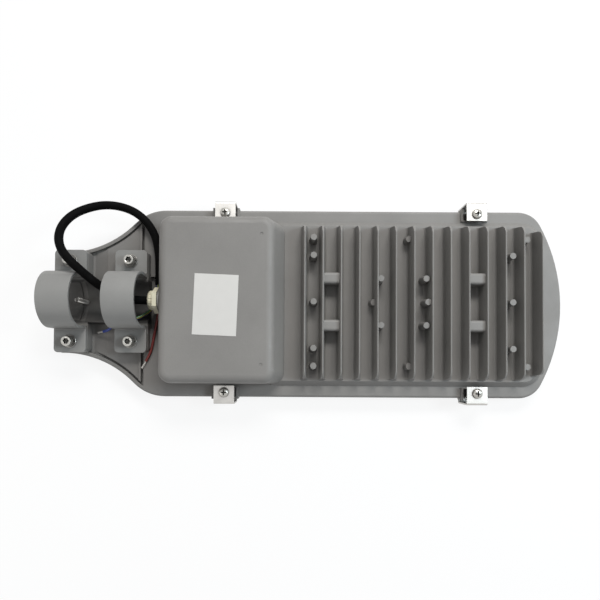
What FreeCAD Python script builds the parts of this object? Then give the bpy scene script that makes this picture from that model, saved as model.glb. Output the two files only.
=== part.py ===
import FreeCAD, Part
import math
import os

from FreeCAD import Vector

# LED street light head, seen with its heat sink up. Millimetres.
# The origin is the middle of the outer pole saddle, on the pole's axis.
# +X runs along the head to its tip, and +Z points away from the lit side.
# Heights are measured from the flange's upper face, and level() turns them into z.

# Pole and saddles
POLE_R = 24.0
POLE_AXIS_HEIGHT = 24.3
SADDLE_WALL = 3.0
SADDLE_LENGTH = 30.0
SADDLE_GRIP_END_X = 8.0
SADDLE_PITCH = 59.0
LUG_LENGTH = 31.0
LUG_REACH = 50.2
LUG_THICK = 3.2
LUG_CORNER_R = 4.0
LUG_SCREW_Y = 39.3
SADDLE_ROOT_R = 1.5
PAD_HEIGHT = 9.0

# Saddle fasteners, M6
M6_R = 3.0
M6_CLEARANCE_R = 3.3
M6_HEAD_R = 5.0
M6_HEAD_HEIGHT = 6.0
M6_HEAD_EDGE_R = 0.6
M6_LENGTH = 18.0
M6_SOCKET_ACROSS = 5.0
M6_SOCKET_DEPTH = 3.2
FLAT_WASHER_R = 6.5
FLAT_WASHER_THICK = 1.2
SPRING_WASHER_R = 5.6
SPRING_WASHER_THICK = 1.8
SPRING_WASHER_GAP = 0.9
THREAD_CLEARANCE = 0.05

# Outline of the casting
NECK_END_X = -17.5
NECK_HALF = 50.5
NECK_CORNER_R = 4.0
NECK_SWEEP_R = 100.0
NECK_STRAIGHT = 4.7
SHOULDER_R = 44.0
BODY_HALF = 93.5
TIP_LEDGE = 29.8
TIP_R = 170.0
TIP_CORNER_R = 25.0
RIM_DEPTH = 10.0
RIM_EDGE_R = 2.5
RIM_WALL = 4.5
FLANGE_THICK = 3.2

# Neck
NECK_RIM_WIDTH = 4.2
NECK_GROOVE_WIDTH = 2.2
NECK_GROOVE_DEPTH = 3.5
NECK_GROOVE_PAST_SADDLE = 9.5
NECK_RIB_WIDTH = 2.2
NECK_RIB_HEIGHT = 1.6
OUTER_DECK_HEIGHT = -4.0
OUTER_DECK_END_X = 18.0
INNER_DECK_START_X = 32.0
PAD_PROUD = 0.4
BORE_RELIEF = 0.6
CRADLE_HALF = 20.6
CRADLE_PAST_SADDLE = 16.0
WIRE_POCKET_HALF = 26.0
WIRE_POCKET_WALL = 1.2
WIRE_POCKET_DEPTH = 4.4
NECK_SKIN = 2.8
NECK_RIB_Y = 20.0
NECK_UNDER_RIB = 3.0
NECK_WALL = 4.5
PAD_BOSS_R = 7.0
NECK_HOLLOW_BEFORE_BOX = 3.0
DEEP_HOLLOW_PAST_DECK = 2.0
DEEP_HOLLOW_BEFORE_GROOVE = 4.0

# Heat sink
PLATFORM_HEIGHT = 5.5
PLATFORM_SIDE_LEDGE = 11.5
PLATFORM_UNDER_BOX = 15.0
PLATFORM_PAST_FIN = 11.0
PLATFORM_SLOPE = 5.0
PLATFORM_CORNER_R = 22.0
PLATFORM_SKIN = 3.0
FIN_COUNT = 14
FIN_PAST_BOX = 17.5
FIN_PITCH = 17.5
FIN_HEIGHT = 18.7
FIN_ROOT_THICK = 5.0
FIN_TOP_THICK = 1.8
FIN_ROOT_R = 2.6
FIN_SIDE_LEDGE = 6.5
LAST_FIN_SHORTER = 4.5
FIN_END_R = 8.0
FIN_END_DRAFT = 1.5
PIN_TOP_R = 3.0
PIN_ROOT_R = 4.2
PIN_TOP_HEIGHT = 21.0
LOW_PIN_HEIGHT = 15.0
PIN_ROW_NEAR = 22.5
PIN_ROW_FAR_IN = 30.7
PIN_ROW_EDGE_IN = 13.5
SHORT_PIN_BEFORE_FIN = 2.6
NEAR_PIN_PAST_FIN = 3.6
NEAR_PIN_BEFORE_FIN = 5.4
MIDDLE_PIN_BEFORE_FIN = 3.6
EDGE_PIN_BEFORE_FIN = 3.4
FAR_PIN_BEFORE_GAP = 1.0
LAST_PIN_BEFORE_GAP = 2.0
BRIDGE_HALF = 5.5
BRIDGE_EDGE_R = 2.6
BRIDGE_Y = 22.8
BRIDGE_TOP_HEIGHT = 20.6

# Driver box
BOX_PAST_SADDLE = 31.3
BOX_LENGTH = 120.7
BOX_SLOPE_RUN = 12.6
BOX_SIDE_LEDGE = 13.5
BOX_DRAFT = 1.4
BOX_HEIGHT = 36.0
BOX_CORNER_R = 12.0
BOX_EDGE_R = 8.0
BOX_WALL = 3.4
PIT_R = 1.5
PIT_DEPTH = 0.4
PIT_BEFORE_EDGE = 10.5
PIT_SIDE_IN = 19.0

# Glass, gasket and their clips
GLASS_THICK = 4.0
GLASS_INSET = 1.0
GLASS_PAST_BOX = 4.3
GLASS_CORNER_R = 6.0
GASKET_THICK = 2.0
GASKET_INSET = 1.3
GASKET_WIDTH = 2.9
CHAMBER_PAST_BOX = 9.8
CHAMBER_CORNER_R = 8.0
REAR_CLIP_PAST_BOX = 60.0
FRONT_CLIP_FIN_COUNT = 11
FRONT_CLIP_BEFORE_FIN = 5.2
CLIP_WIDTH = 20.0
CLIP_THICK = 1.5
CLIP_BEND_R = 2.2
CLIP_LEG_OUT = 6.3
CLIP_TAB_IN = 11.7
CLIP_LIP_IN = 7.5
CLIP_TAB_HEIGHT = 8.0
CLIP_HOLE_R = 2.75
CLIP_SCREW_IN = 5.2
CLIP_SCREW_LENGTH = 12.0
CLIP_SCREW_END_ROOM = 0.5
M5_R = 2.5
M5_HEAD_R = 4.7
M5_HEAD_HEIGHT = 3.2
M5_CROSS_DEPTH = 1.6
POCKET_HALF = 11.0
POCKET_IN = 9.5
POCKET_FLOOR_HEIGHT = -7.0
CHEEK_THICK = 2.2
CHEEK_PROUD = 1.8
POCKET_WALL = 3.0
BOSS_HALF = 6.5
BOSS_END_IN = 0.9

# Cable gland in the driver box's end wall
GLAND_HEIGHT = 20.0
GLAND_THREAD_R = 7.8
GLAND_HOLE_R = 8.0
GLAND_BOSS_R = 11.8
GLAND_BOSS_PROUD = 0.6
GLAND_HEX_ACROSS = 22.0
GLAND_HEX_THICK = 4.2
GLAND_SEAL_THICK = 0.8
GLAND_SEAL_R = 10.6
GLAND_NUT_R = 9.4
GLAND_NUT_LENGTH = 5.6
GLAND_NUT_NOSE_R = 3.0
GLAND_NUT_FACE = 2.0
GLAND_THREAD_STEP = 1.3
GLAND_FLUTE_COUNT = 12
GLAND_FLUTE_R = 0.9
GLAND_FLUTE_OUT = 0.35
GLAND_TAIL = 7.5
LOCKNUT_ACROSS = 20.0
LOCKNUT_THICK = 4.0
LOCKNUT_PAD = 0.6

# Locking stud
STUD_R = 2.4
STUD_X = 11.4
STUD_TOP_HEIGHT = 23.6
STUD_CHAMFER = 0.5
STUD_END_IN = 0.5

# Supply cable
CABLE_R = 4.0
CORE_R = 1.3
TIP_R_TINNED = 0.8
TIP_LENGTH = 8.0
TAIL_PAST_BOX = 12.8
TAIL_CORE_RING_R = 1.9

# LED board
BOARD_PAST_FIN = 2.0
BOARD_END_BEFORE_FIN = 5.0
BOARD_SIDE_LEDGE = 15.5
BOARD_THICK = 1.6
LED_SIDE = 3.6
LED_THICK = 0.8
LED_COLUMNS = 12
LED_ROWS = 3
LED_START_MARGIN = 19.5
LED_END_MARGIN = 25.0
LED_SIDE_MARGIN = 13.5
LED_POCKET_MARGIN = 5.0
M3_R = 1.5
M3_HEAD_R = 2.8
M3_HEAD_HEIGHT = 1.8
M3_GRIP = 4.0
M3_HEAD_EDGE_R = 0.8
M3_HOLE_ROOM = 0.2
M3_END_ROOM = 0.3

# Reflector tray round the board
TRAY_SHEET = 0.8
TRAY_START_BEFORE_FIN = 8.5
TRAY_END_PAST_FIN = 6.0
TRAY_SIDE_LEDGE = 13.5
TRAY_DEPTH = 9.0
TRAY_CORNER_R = 19.0
TRAY_OVERLAP = 4.0
TRAY_BOARD_GAP = 0.1
TRAY_MOUTH_R = 3.0
TRAY_SCREW_ROOM = 1.0
LEAD_NOTCH_HALF = 4.0

# Driver and the plate that closes its bay
DRIVER_PAST_BOX = 20.8
DRIVER_LENGTH = 64.0
DRIVER_SIDE_ROOM = 28.0
DRIVER_LOW_HEIGHT = 3.0
DRIVER_TOP_HEIGHT = 28.0
DRIVER_CORNER_R = 3.0
DRIVER_FOOT_REACH = 12.0
DRIVER_FOOT_THICK = 2.0
DRIVER_FOOT_END_IN = 5.0
DRIVER_FOOT_R = 4.0
DRIVER_CASE_GAP = 0.2
DRIVER_PILLAR_R = 4.0
DRIVER_SCREW_IN = 12.0
COVER_THICK = 1.0
COVER_PAST_BOX = 10.0
COVER_SIDE_GAP = 0.5
COVER_END_GAP = 0.6
COVER_TAB_X_IN = 25.3
COVER_TAB_HALF = 8.0
COVER_TAB_REACH = 6.5
COVER_TAB_SCREW = 3.6
COVER_END_SCREW_IN = 4.5
COVER_SCREW_Y = 60.0
COVER_SCREW_GRIP = 2.0
COVER_HOLE_R = 5.0
COVER_HOLE_PAST_DRIVER = 18.0
DC_LEAD_R = 1.1
DC_LEAD_Y = 1.6
DC_PAD_PAST_BOARD = 5.0
DC_PAD_LENGTH = 4.0
DC_PAD_HALF = 1.2
DC_PAD_HEIGHT = 2.2

# Label
LABEL_WIDTH = 41.0
LABEL_LENGTH = 57.0
LABEL_THICK = 0.25
LABEL_PAST_BOX = 55.1
LABEL_Y = -5.5
LABEL_TURN = -2.2

# Worked out from the sizes above
BOX_START_X = SADDLE_PITCH + BOX_PAST_SADDLE
BOX_ROOT_END_X = BOX_START_X + BOX_LENGTH
BOX_TOP_END_X = BOX_ROOT_END_X - BOX_SLOPE_RUN
BOX_HALF = BODY_HALF - BOX_SIDE_LEDGE
FIN_X = [BOX_ROOT_END_X + FIN_PAST_BOX + FIN_PITCH * i for i in range(FIN_COUNT)]
PLATFORM_START_X = BOX_ROOT_END_X - PLATFORM_UNDER_BOX
PLATFORM_END_X = FIN_X[-1] + PLATFORM_PAST_FIN
PLATFORM_HALF = BODY_HALF - PLATFORM_SIDE_LEDGE
FIN_HALF = PLATFORM_HALF - FIN_SIDE_LEDGE
LAST_FIN_HALF = FIN_HALF - LAST_FIN_SHORTER
PIN_ROW_FAR = FIN_HALF - PIN_ROW_FAR_IN
PIN_ROW_EDGE = FIN_HALF - PIN_ROW_EDGE_IN
PIN_X_FIRST = FIN_X[1] - FIN_PITCH / 2
PIN_X_EDGE = FIN_X[6] - EDGE_PIN_BEFORE_FIN
PIN_X_MIDDLE = FIN_X[7] - MIDDLE_PIN_BEFORE_FIN
PIN_X_FAR = FIN_X[-2] - FIN_PITCH / 2 - FAR_PIN_BEFORE_GAP
PIN_X_LAST = FIN_X[-1] - FIN_PITCH / 2 - LAST_PIN_BEFORE_GAP
TIP_X = FIN_X[-1] + TIP_LEDGE
TIP_CENTRE_X = TIP_X - TIP_R
NECK_GROOVE_X = SADDLE_PITCH + NECK_GROOVE_PAST_SADDLE
CRADLE_END_X = SADDLE_PITCH + CRADLE_PAST_SADDLE
WIRE_POCKET_END_X = BOX_START_X - WIRE_POCKET_WALL
SWEEP_X = NECK_END_X + NECK_STRAIGHT
SWEEP_RISE = NECK_SWEEP_R + SHOULDER_R - (BODY_HALF - NECK_HALF)
SHOULDER_X = SWEEP_X + math.sqrt((NECK_SWEEP_R + SHOULDER_R) ** 2 - SWEEP_RISE ** 2)
GLASS_START_X = BOX_START_X + GLASS_PAST_BOX
CHAMBER_START_X = BOX_START_X + CHAMBER_PAST_BOX
CLIP_X = (BOX_START_X + REAR_CLIP_PAST_BOX, FIN_X[FRONT_CLIP_FIN_COUNT - 1] - FRONT_CLIP_BEFORE_FIN)
CLIP_LEG_Y = BODY_HALF + CLIP_LEG_OUT
CLIP_TAB_END_Y = BODY_HALF - CLIP_TAB_IN
CLIP_LIP_END_Y = BODY_HALF - CLIP_LIP_IN
CLIP_SCREW_Y = BODY_HALF - CLIP_SCREW_IN
POCKET_START_Y = BODY_HALF - POCKET_IN
BOSS_END_Y = BODY_HALF - BOSS_END_IN
TAIL_END_X = BOX_START_X + TAIL_PAST_BOX
BOARD_START_X = FIN_X[0] + BOARD_PAST_FIN
BOARD_END_X = FIN_X[-1] - BOARD_END_BEFORE_FIN
BOARD_HALF = PLATFORM_HALF - BOARD_SIDE_LEDGE
LED_FIRST_X = BOARD_START_X + LED_START_MARGIN
LED_COLUMN_PITCH = (BOARD_END_X - LED_END_MARGIN - LED_FIRST_X) / (LED_COLUMNS - 1)
LED_ROW_PITCH = (BOARD_HALF - LED_SIDE_MARGIN) / (LED_ROWS - 0.5)
TRAY_START_X = FIN_X[0] - TRAY_START_BEFORE_FIN
TRAY_END_X = FIN_X[-1] + TRAY_END_PAST_FIN
TRAY_HALF = BODY_HALF - TRAY_SIDE_LEDGE
DRIVER_START_X = BOX_START_X + DRIVER_PAST_BOX
DRIVER_END_X = DRIVER_START_X + DRIVER_LENGTH
DRIVER_HALF = BOX_HALF - DRIVER_SIDE_ROOM
DRIVER_SCREW_X = (DRIVER_START_X + DRIVER_SCREW_IN, DRIVER_END_X - DRIVER_SCREW_IN)
COVER_END_X = BOX_ROOT_END_X + COVER_PAST_BOX
COVER_HALF = BOX_HALF - COVER_SIDE_GAP
COVER_TAB_X = BOX_START_X + COVER_TAB_X_IN
COVER_HOLE_X = DRIVER_END_X + COVER_HOLE_PAST_DRIVER
LABEL_X = BOX_START_X + LABEL_PAST_BOX
LUG_TOP_HEIGHT = PAD_HEIGHT + LUG_THICK
FIN_TOP_HEIGHT = PLATFORM_HEIGHT + FIN_HEIGHT
BOARD_TOP_HEIGHT = PLATFORM_HEIGHT - PLATFORM_SKIN
GASKET_TOP_HEIGHT = -RIM_DEPTH
GLASS_TOP_HEIGHT = GASKET_TOP_HEIGHT - GASKET_THICK
GLASS_LOW_HEIGHT = GLASS_TOP_HEIGHT - GLASS_THICK
CLIP_LOW_HEIGHT = GLASS_LOW_HEIGHT - CLIP_THICK
CEILING_HEIGHT = -FLANGE_THICK
SADDLE_X = {"outer": 0.0, "inner": SADDLE_PITCH}


def level(height):
    """z of a height over the flange's upper face."""
    return height - POLE_AXIS_HEIGHT


def at(x, y, height):
    return Vector(x, y, level(height))


def block(x0, x1, y0, y1, low, high):
    """Box between two corners, its heights over the flange."""
    return Part.makeBox(x1 - x0, y1 - y0, high - low, at(x0, y0, low))


def upright(radius, x, y, low, high):
    """Vertical cylinder."""
    return Part.makeCylinder(radius, high - low, at(x, y, low), Vector(0, 0, 1))


def along_x(radius, x0, x1, y, height):
    """Cylinder along X."""
    return Part.makeCylinder(radius, x1 - x0, at(x0, y, height), Vector(1, 0, 0))


def hexagon(across, low_x, high_x, y, height):
    """Hexagonal prism along X with two flats level."""
    corner_r = across / math.sqrt(3)
    corners = [
        at(low_x, y + corner_r * math.cos(math.radians(60 * i)),
           height + corner_r * math.sin(math.radians(60 * i)))
        for i in range(7)
    ]
    return prism(Part.makePolygon(corners), Vector(high_x - low_x, 0, 0))


def prism(wire, direction):
    return Part.Face(wire).extrude(direction)


def arc(start, middle, end):
    return Part.Arc(start, middle, end).toShape()


def fillet_where(shape, radius, test):
    """Round the edges that pass a test on their middle point."""
    chosen = [e for e in shape.Edges if test(e.CenterOfMass, e)]
    return shape.makeFillet(radius, chosen) if chosen else shape


def rounded_rectangle(x0, x1, y_half, radius, height):
    """Wire of a rectangle about the X axis with round corners."""
    mid = radius * (1 - math.sqrt(0.5))
    p = lambda x, y: at(x, y, height)
    edges = [
        Part.makeLine(p(x0 + radius, -y_half), p(x1 - radius, -y_half)),
        arc(p(x1 - radius, -y_half), p(x1 - mid, -y_half + mid), p(x1, -y_half + radius)),
        Part.makeLine(p(x1, -y_half + radius), p(x1, y_half - radius)),
        arc(p(x1, y_half - radius), p(x1 - mid, y_half - mid), p(x1 - radius, y_half)),
        Part.makeLine(p(x1 - radius, y_half), p(x0 + radius, y_half)),
        arc(p(x0 + radius, y_half), p(x0 + mid, y_half - mid), p(x0, y_half - radius)),
        Part.makeLine(p(x0, y_half - radius), p(x0, -y_half + radius)),
        arc(p(x0, -y_half + radius), p(x0 + mid, -y_half + mid), p(x0 + radius, -y_half)),
    ]
    return Part.Wire(edges)


def tongue(x0, x1, y_half, radius, height):
    """Wire of a rectangle about the X axis with its two far corners round."""
    corner = (x1 - radius, y_half - radius)
    return mirrored_outline([
        [(x0, 0.0), (x0, y_half)],
        [(x0, y_half), (corner[0], y_half)],
        [(corner[0], y_half), on_circle(corner, radius, math.radians(45)), (x1, corner[1])],
        [(x1, corner[1]), (x1, 0.0)],
    ], height)


def mirrored_outline(spans, height):
    """Closed wire from the spans of its +Y half, which start and end on the X axis side.

    A span is a list of two points for a line, or three for an arc, as (x, y) pairs.
    """
    edges = []
    for span in spans:
        points = [at(x, y, height) for x, y in span]
        edges.append(Part.makeLine(*points) if len(points) == 2 else arc(*points))
    for span in reversed(spans):
        points = [at(x, -y, height) for x, y in reversed(span)]
        edges.append(Part.makeLine(*points) if len(points) == 2 else arc(*points))
    return Part.Wire(Part.__sortEdges__(edges))


def on_circle(centre, radius, angle):
    return (centre[0] + radius * math.cos(angle), centre[1] + radius * math.sin(angle))


def tip_spans(inset, start_x):
    """Straight side from start_x, tip corner and tip arc, as spans of the +Y half."""
    corner_y = BODY_HALF - TIP_CORNER_R
    corner_x = TIP_CENTRE_X + math.sqrt((TIP_R - TIP_CORNER_R) ** 2 - corner_y ** 2)
    corner = (corner_x, corner_y)
    corner_r = TIP_CORNER_R - inset
    turn = math.atan2(corner_y, corner_x - TIP_CENTRE_X)
    tip = (TIP_CENTRE_X, 0.0)
    tip_r = TIP_R - inset
    side_y = BODY_HALF - inset
    return [
        [(start_x, side_y), (corner_x, side_y)],
        [(corner_x, side_y), on_circle(corner, corner_r, (math.pi / 2 + turn) / 2),
         on_circle(tip, tip_r, turn)],
        [on_circle(tip, tip_r, turn), on_circle(tip, tip_r, turn / 2), (TIP_X - inset, 0.0)],
    ]


def neck_spans(inset):
    """Neck end, sweep and shoulder of the +Y half, up to the straight side."""
    sweep = (SWEEP_X, NECK_HALF + NECK_SWEEP_R)
    shoulder = (SHOULDER_X, BODY_HALF - SHOULDER_R)
    turn = math.asin(SWEEP_RISE / (NECK_SWEEP_R + SHOULDER_R))
    sweep_r = NECK_SWEEP_R + inset
    shoulder_r = SHOULDER_R - inset
    end_x = NECK_END_X + inset
    side_y = NECK_HALF - inset
    joint = on_circle(sweep, sweep_r, -turn)
    spans = []
    corner_r = NECK_CORNER_R - inset
    if corner_r > 0.1:
        corner = (end_x + corner_r, side_y - corner_r)
        spans.append([(end_x, 0.0), (end_x, corner[1])])
        spans.append([(end_x, corner[1]), on_circle(corner, corner_r, math.radians(135)),
                      (corner[0], side_y)])
        spans.append([(corner[0], side_y), (sweep[0], side_y)])
    else:
        spans.append([(end_x, 0.0), (end_x, side_y)])
        spans.append([(end_x, side_y), (sweep[0], side_y)])
    spans.append([(sweep[0], side_y), on_circle(sweep, sweep_r, -(math.pi / 2 + turn) / 2), joint])
    spans.append([joint, on_circle(shoulder, shoulder_r, math.pi - (math.pi / 2 + turn) / 2),
                  (SHOULDER_X, BODY_HALF - inset)])
    return spans


def body_prism(inset, low, high):
    """The casting's whole outline, drawn in by inset."""
    wire = mirrored_outline(neck_spans(inset) + tip_spans(inset, SHOULDER_X), low)
    return prism(wire, Vector(0, 0, level(high) - level(low)))


def chamber_prism(inset, start_x, corner_r, low, high):
    """The outline from a straight cross edge at start_x to the tip, drawn in by inset."""
    side_y = BODY_HALF - inset
    corner = (start_x + corner_r, side_y - corner_r)
    spans = [
        [(start_x, 0.0), (start_x, corner[1])],
        [(start_x, corner[1]), on_circle(corner, corner_r, math.radians(135)), (corner[0], side_y)],
    ] + tip_spans(inset, corner[0])
    return prism(mirrored_outline(spans, low), Vector(0, 0, level(high) - level(low)))


def ruled_solid(low_wire, high_wire):
    return Part.makeLoft([low_wire, high_wire], True, True)


def fuse(shapes):
    """One solid from several that touch."""
    return shapes[0].multiFuse(shapes[1:]).removeSplitter()


def clip_places():
    """Name, x and side of each glass clip."""
    for end, x in zip(("rear", "front"), CLIP_X):
        for side, sign in (("left", 1), ("right", -1)):
            yield end + "_" + side, x, sign


def pin_places():
    """Centres and top heights of the heat sink's round pins."""
    edge, far, near = PIN_ROW_EDGE, PIN_ROW_FAR, PIN_ROW_NEAR
    columns = (
        (PIN_X_FIRST, PIN_TOP_HEIGHT, (0, far, edge)),
        (FIN_X[4] - SHORT_PIN_BEFORE_FIN, LOW_PIN_HEIGHT, (0,)),
        (FIN_X[4] + NEAR_PIN_PAST_FIN, PIN_TOP_HEIGHT, (near,)),
        (PIN_X_EDGE, LOW_PIN_HEIGHT, (edge,)),
        (FIN_X[7] - NEAR_PIN_BEFORE_FIN, PIN_TOP_HEIGHT, (near,)),
        (PIN_X_MIDDLE, PIN_TOP_HEIGHT, (0,)),
        (PIN_X_FAR, PIN_TOP_HEIGHT, (0, far)),
        (PIN_X_LAST, LOW_PIN_HEIGHT, (edge,)),
    )
    for x, height, rows in columns:
        for y in rows:
            yield x, y, height
            if y:
                yield x, -y, height


def board_screw_places():
    """The pins that the LED board is screwed to."""
    places = [(PIN_X_MIDDLE, 0.0)]
    for x, y in ((PIN_X_FIRST, PIN_ROW_FAR), (PIN_X_EDGE, PIN_ROW_EDGE), (PIN_X_FAR, PIN_ROW_FAR)):
        places += [(x, y), (x, -y)]
    return places


def fin(x, half):
    """One drafted fin with a rounded crest and root, and rounded ends."""
    base = PLATFORM_HEIGHT
    top = FIN_TOP_HEIGHT
    root = FIN_ROOT_THICK / 2
    crest_r = FIN_TOP_THICK / 2
    flare = FIN_ROOT_R
    bow = flare * (1 - math.sqrt(0.5))
    y = -half
    p = lambda dx, height: at(x + dx, y, height)
    sunk = base - 1.0
    edges = [
        Part.makeLine(p(-root - flare, sunk), p(root + flare, sunk)),
        Part.makeLine(p(root + flare, sunk), p(root + flare, base)),
        arc(p(root + flare, base), p(root + bow, base + bow), p(root, base + flare)),
        Part.makeLine(p(root, base + flare), p(crest_r, top - crest_r)),
        arc(p(crest_r, top - crest_r), p(0, top), p(-crest_r, top - crest_r)),
        Part.makeLine(p(-crest_r, top - crest_r), p(-root, base + flare)),
        arc(p(-root, base + flare), p(-root - bow, base + bow), p(-root - flare, base)),
        Part.makeLine(p(-root - flare, base), p(-root - flare, sunk)),
    ]
    section = prism(Part.Wire(edges), Vector(0, 2 * half, 0))
    left = x - root - flare
    width = 2 * (root + flare)
    r = FIN_END_R
    mid = r * (1 - math.sqrt(0.5))
    in_y = half - FIN_END_DRAFT
    q = lambda side_y, height: at(left, side_y, height)
    side = [
        Part.makeLine(q(-half, sunk), q(half, sunk)),
        Part.makeLine(q(half, sunk), q(in_y, top - r)),
        arc(q(in_y, top - r), q(in_y - mid, top - mid), q(in_y - r, top)),
        Part.makeLine(q(in_y - r, top), q(-in_y + r, top)),
        arc(q(-in_y + r, top), q(-in_y + mid, top - mid), q(-in_y, top - r)),
        Part.makeLine(q(-in_y, top - r), q(-half, sunk)),
    ]
    return section.common(prism(Part.Wire(side), Vector(width, 0, 0)))


def heat_sink():
    """Platform with its fins, pins and the blocks that bridge two of the gaps."""
    slope = PLATFORM_SLOPE
    radius = PLATFORM_CORNER_R
    low = tongue(PLATFORM_START_X, PLATFORM_END_X, PLATFORM_HALF, radius, CEILING_HEIGHT + 1)
    foot = tongue(PLATFORM_START_X, PLATFORM_END_X, PLATFORM_HALF, radius, 0)
    top = tongue(PLATFORM_START_X, PLATFORM_END_X - slope, PLATFORM_HALF - slope, radius - slope,
                 PLATFORM_HEIGHT)
    pieces = [prism(low, Vector(0, 0, -CEILING_HEIGHT - 1)), ruled_solid(foot, top)]
    for i, x in enumerate(FIN_X):
        pieces.append(fin(x, LAST_FIN_HALF if i == FIN_COUNT - 1 else FIN_HALF))
    root = PLATFORM_HEIGHT - 1.0
    for x, y, top in pin_places():
        pieces.append(Part.makeCone(PIN_ROOT_R, PIN_TOP_R, top - root, at(x, y, root)))
    for gap in (2, FIN_COUNT - 4):
        x0 = FIN_X[gap - 1]
        for y in (BRIDGE_Y, -BRIDGE_Y):
            bridge = block(x0, x0 + FIN_PITCH, y - BRIDGE_HALF, y + BRIDGE_HALF, root, BRIDGE_TOP_HEIGHT)
            top_z = level(BRIDGE_TOP_HEIGHT)
            pieces.append(fillet_where(bridge, BRIDGE_EDGE_R, lambda m, e: abs(m.z - top_z) < 0.01
                                       and abs(abs(m.y - y) - BRIDGE_HALF) < 0.01))
    return pieces


def driver_box():
    """Outer form of the driver box, its right wall sloping to the fins."""
    draft = BOX_DRAFT
    low = rounded_rectangle(BOX_START_X, BOX_ROOT_END_X, BOX_HALF, BOX_CORNER_R, CEILING_HEIGHT + 1)
    foot = rounded_rectangle(BOX_START_X, BOX_ROOT_END_X, BOX_HALF, BOX_CORNER_R, 0)
    top = rounded_rectangle(BOX_START_X + draft / 2, BOX_TOP_END_X, BOX_HALF - draft,
                            BOX_CORNER_R, BOX_HEIGHT)
    form = ruled_solid(foot, top)
    top_z = level(BOX_HEIGHT)
    form = fillet_where(form, BOX_EDGE_R, lambda m, e: abs(m.z - top_z) < 0.01)
    return [prism(low, Vector(0, 0, -CEILING_HEIGHT - 1)), form]


def driver_bay():
    """Hollow of the driver box."""
    wall = BOX_WALL
    radius = BOX_CORNER_R - wall
    low = rounded_rectangle(BOX_START_X + wall, BOX_ROOT_END_X - wall, BOX_HALF - wall, radius,
                            CEILING_HEIGHT - 0.5)
    high = rounded_rectangle(BOX_START_X + wall + BOX_DRAFT / 2, BOX_TOP_END_X - wall,
                             BOX_HALF - BOX_DRAFT - wall, radius, BOX_HEIGHT - wall)
    return ruled_solid(low, high)


def neck_top():
    """What is added on the neck's deck, and what is cut from it."""
    add = []
    cut = []
    groove_end = NECK_GROOVE_X
    inner = NECK_RIM_WIDTH + NECK_GROOVE_WIDTH
    far = BODY_HALF
    depth = -NECK_GROOVE_DEPTH
    outer_zone = block(NECK_END_X, groove_end, -far, far, depth, 1)
    island_zone = block(NECK_END_X, groove_end - NECK_GROOVE_WIDTH, -far, far, depth - 1, 2)
    island = body_prism(inner, depth - 1, 2).common(island_zone)
    cut.append(body_prism(NECK_RIM_WIDTH, depth, 1).common(outer_zone).cut(island))

    low = OUTER_DECK_HEIGHT
    side = [at(x, -far, h) for x, h in (
        (NECK_END_X, low), (OUTER_DECK_END_X, low), (INNER_DECK_START_X, 0),
        (INNER_DECK_START_X, 1), (NECK_END_X, 1), (NECK_END_X, low))]
    dip = prism(Part.makePolygon(side), Vector(0, 2 * far, 0))
    cut.append(dip.common(body_prism(NECK_RIM_WIDTH, low - 1, 2)))

    rib_x = groove_end - NECK_GROOVE_WIDTH
    rib = block(rib_x - NECK_RIB_WIDTH, rib_x, -far, far, -1, NECK_RIB_HEIGHT)
    add.append(rib.common(body_prism(inner, -2, NECK_RIB_HEIGHT + 1)))
    for x in SADDLE_X.values():
        half_x = LUG_LENGTH / 2 + PAD_PROUD
        half_y = LUG_REACH - PAD_PROUD
        pad = block(x - half_x, x + half_x, -half_y, half_y, low - 1, PAD_HEIGHT)
        pad = fillet_where(pad, LUG_CORNER_R, lambda m, e: abs(abs(m.y) - half_y) < 0.01
                           and abs(abs(m.x - x) - half_x) < 0.01)
        add.append(pad)
    cradle_start = NECK_END_X + NECK_RIM_WIDTH - 1
    add.append(block(cradle_start, CRADLE_END_X, -CRADLE_HALF, CRADLE_HALF, low - 1, PAD_HEIGHT))

    pocket = block(CRADLE_END_X, WIRE_POCKET_END_X, -WIRE_POCKET_HALF, WIRE_POCKET_HALF,
                   -WIRE_POCKET_DEPTH, 1)
    cut.append(pocket)
    return add, cut


def neck_under():
    """Hollows in the neck's underside, left between ribs and screw bosses."""
    outer_roof = OUTER_DECK_HEIGHT - NECK_SKIN
    inner_roof = -NECK_SKIN - 1
    wall = NECK_WALL
    low = -RIM_DEPTH - 1
    outline = body_prism(wall, low, 2)
    end_x = BOX_START_X - NECK_HOLLOW_BEFORE_BOX
    zones = [block(NECK_END_X, end_x, -BODY_HALF, BODY_HALF, low, outer_roof)]
    deep = block(INNER_DECK_START_X + DEEP_HOLLOW_PAST_DECK, NECK_GROOVE_X - DEEP_HOLLOW_BEFORE_GROOVE,
                 -BODY_HALF, BODY_HALF, outer_roof - 1, inner_roof)
    zones.append(deep.cut(block(INNER_DECK_START_X, NECK_GROOVE_X, -CRADLE_HALF, CRADLE_HALF,
                                outer_roof - 2, inner_roof + 1)))
    hollow = fuse(zones).common(outline)
    half = NECK_UNDER_RIB / 2
    for y in (NECK_RIB_Y, -NECK_RIB_Y):
        hollow = hollow.cut(block(NECK_END_X, end_x, y - half, y + half, low, 0))
    for x in SADDLE_X.values():
        for y in (LUG_SCREW_Y, -LUG_SCREW_Y):
            hollow = hollow.cut(upright(PAD_BOSS_R, x, y, low, 0))
    return hollow.cut(upright(PAD_BOSS_R, STUD_X, 0, low, 0))


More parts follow.
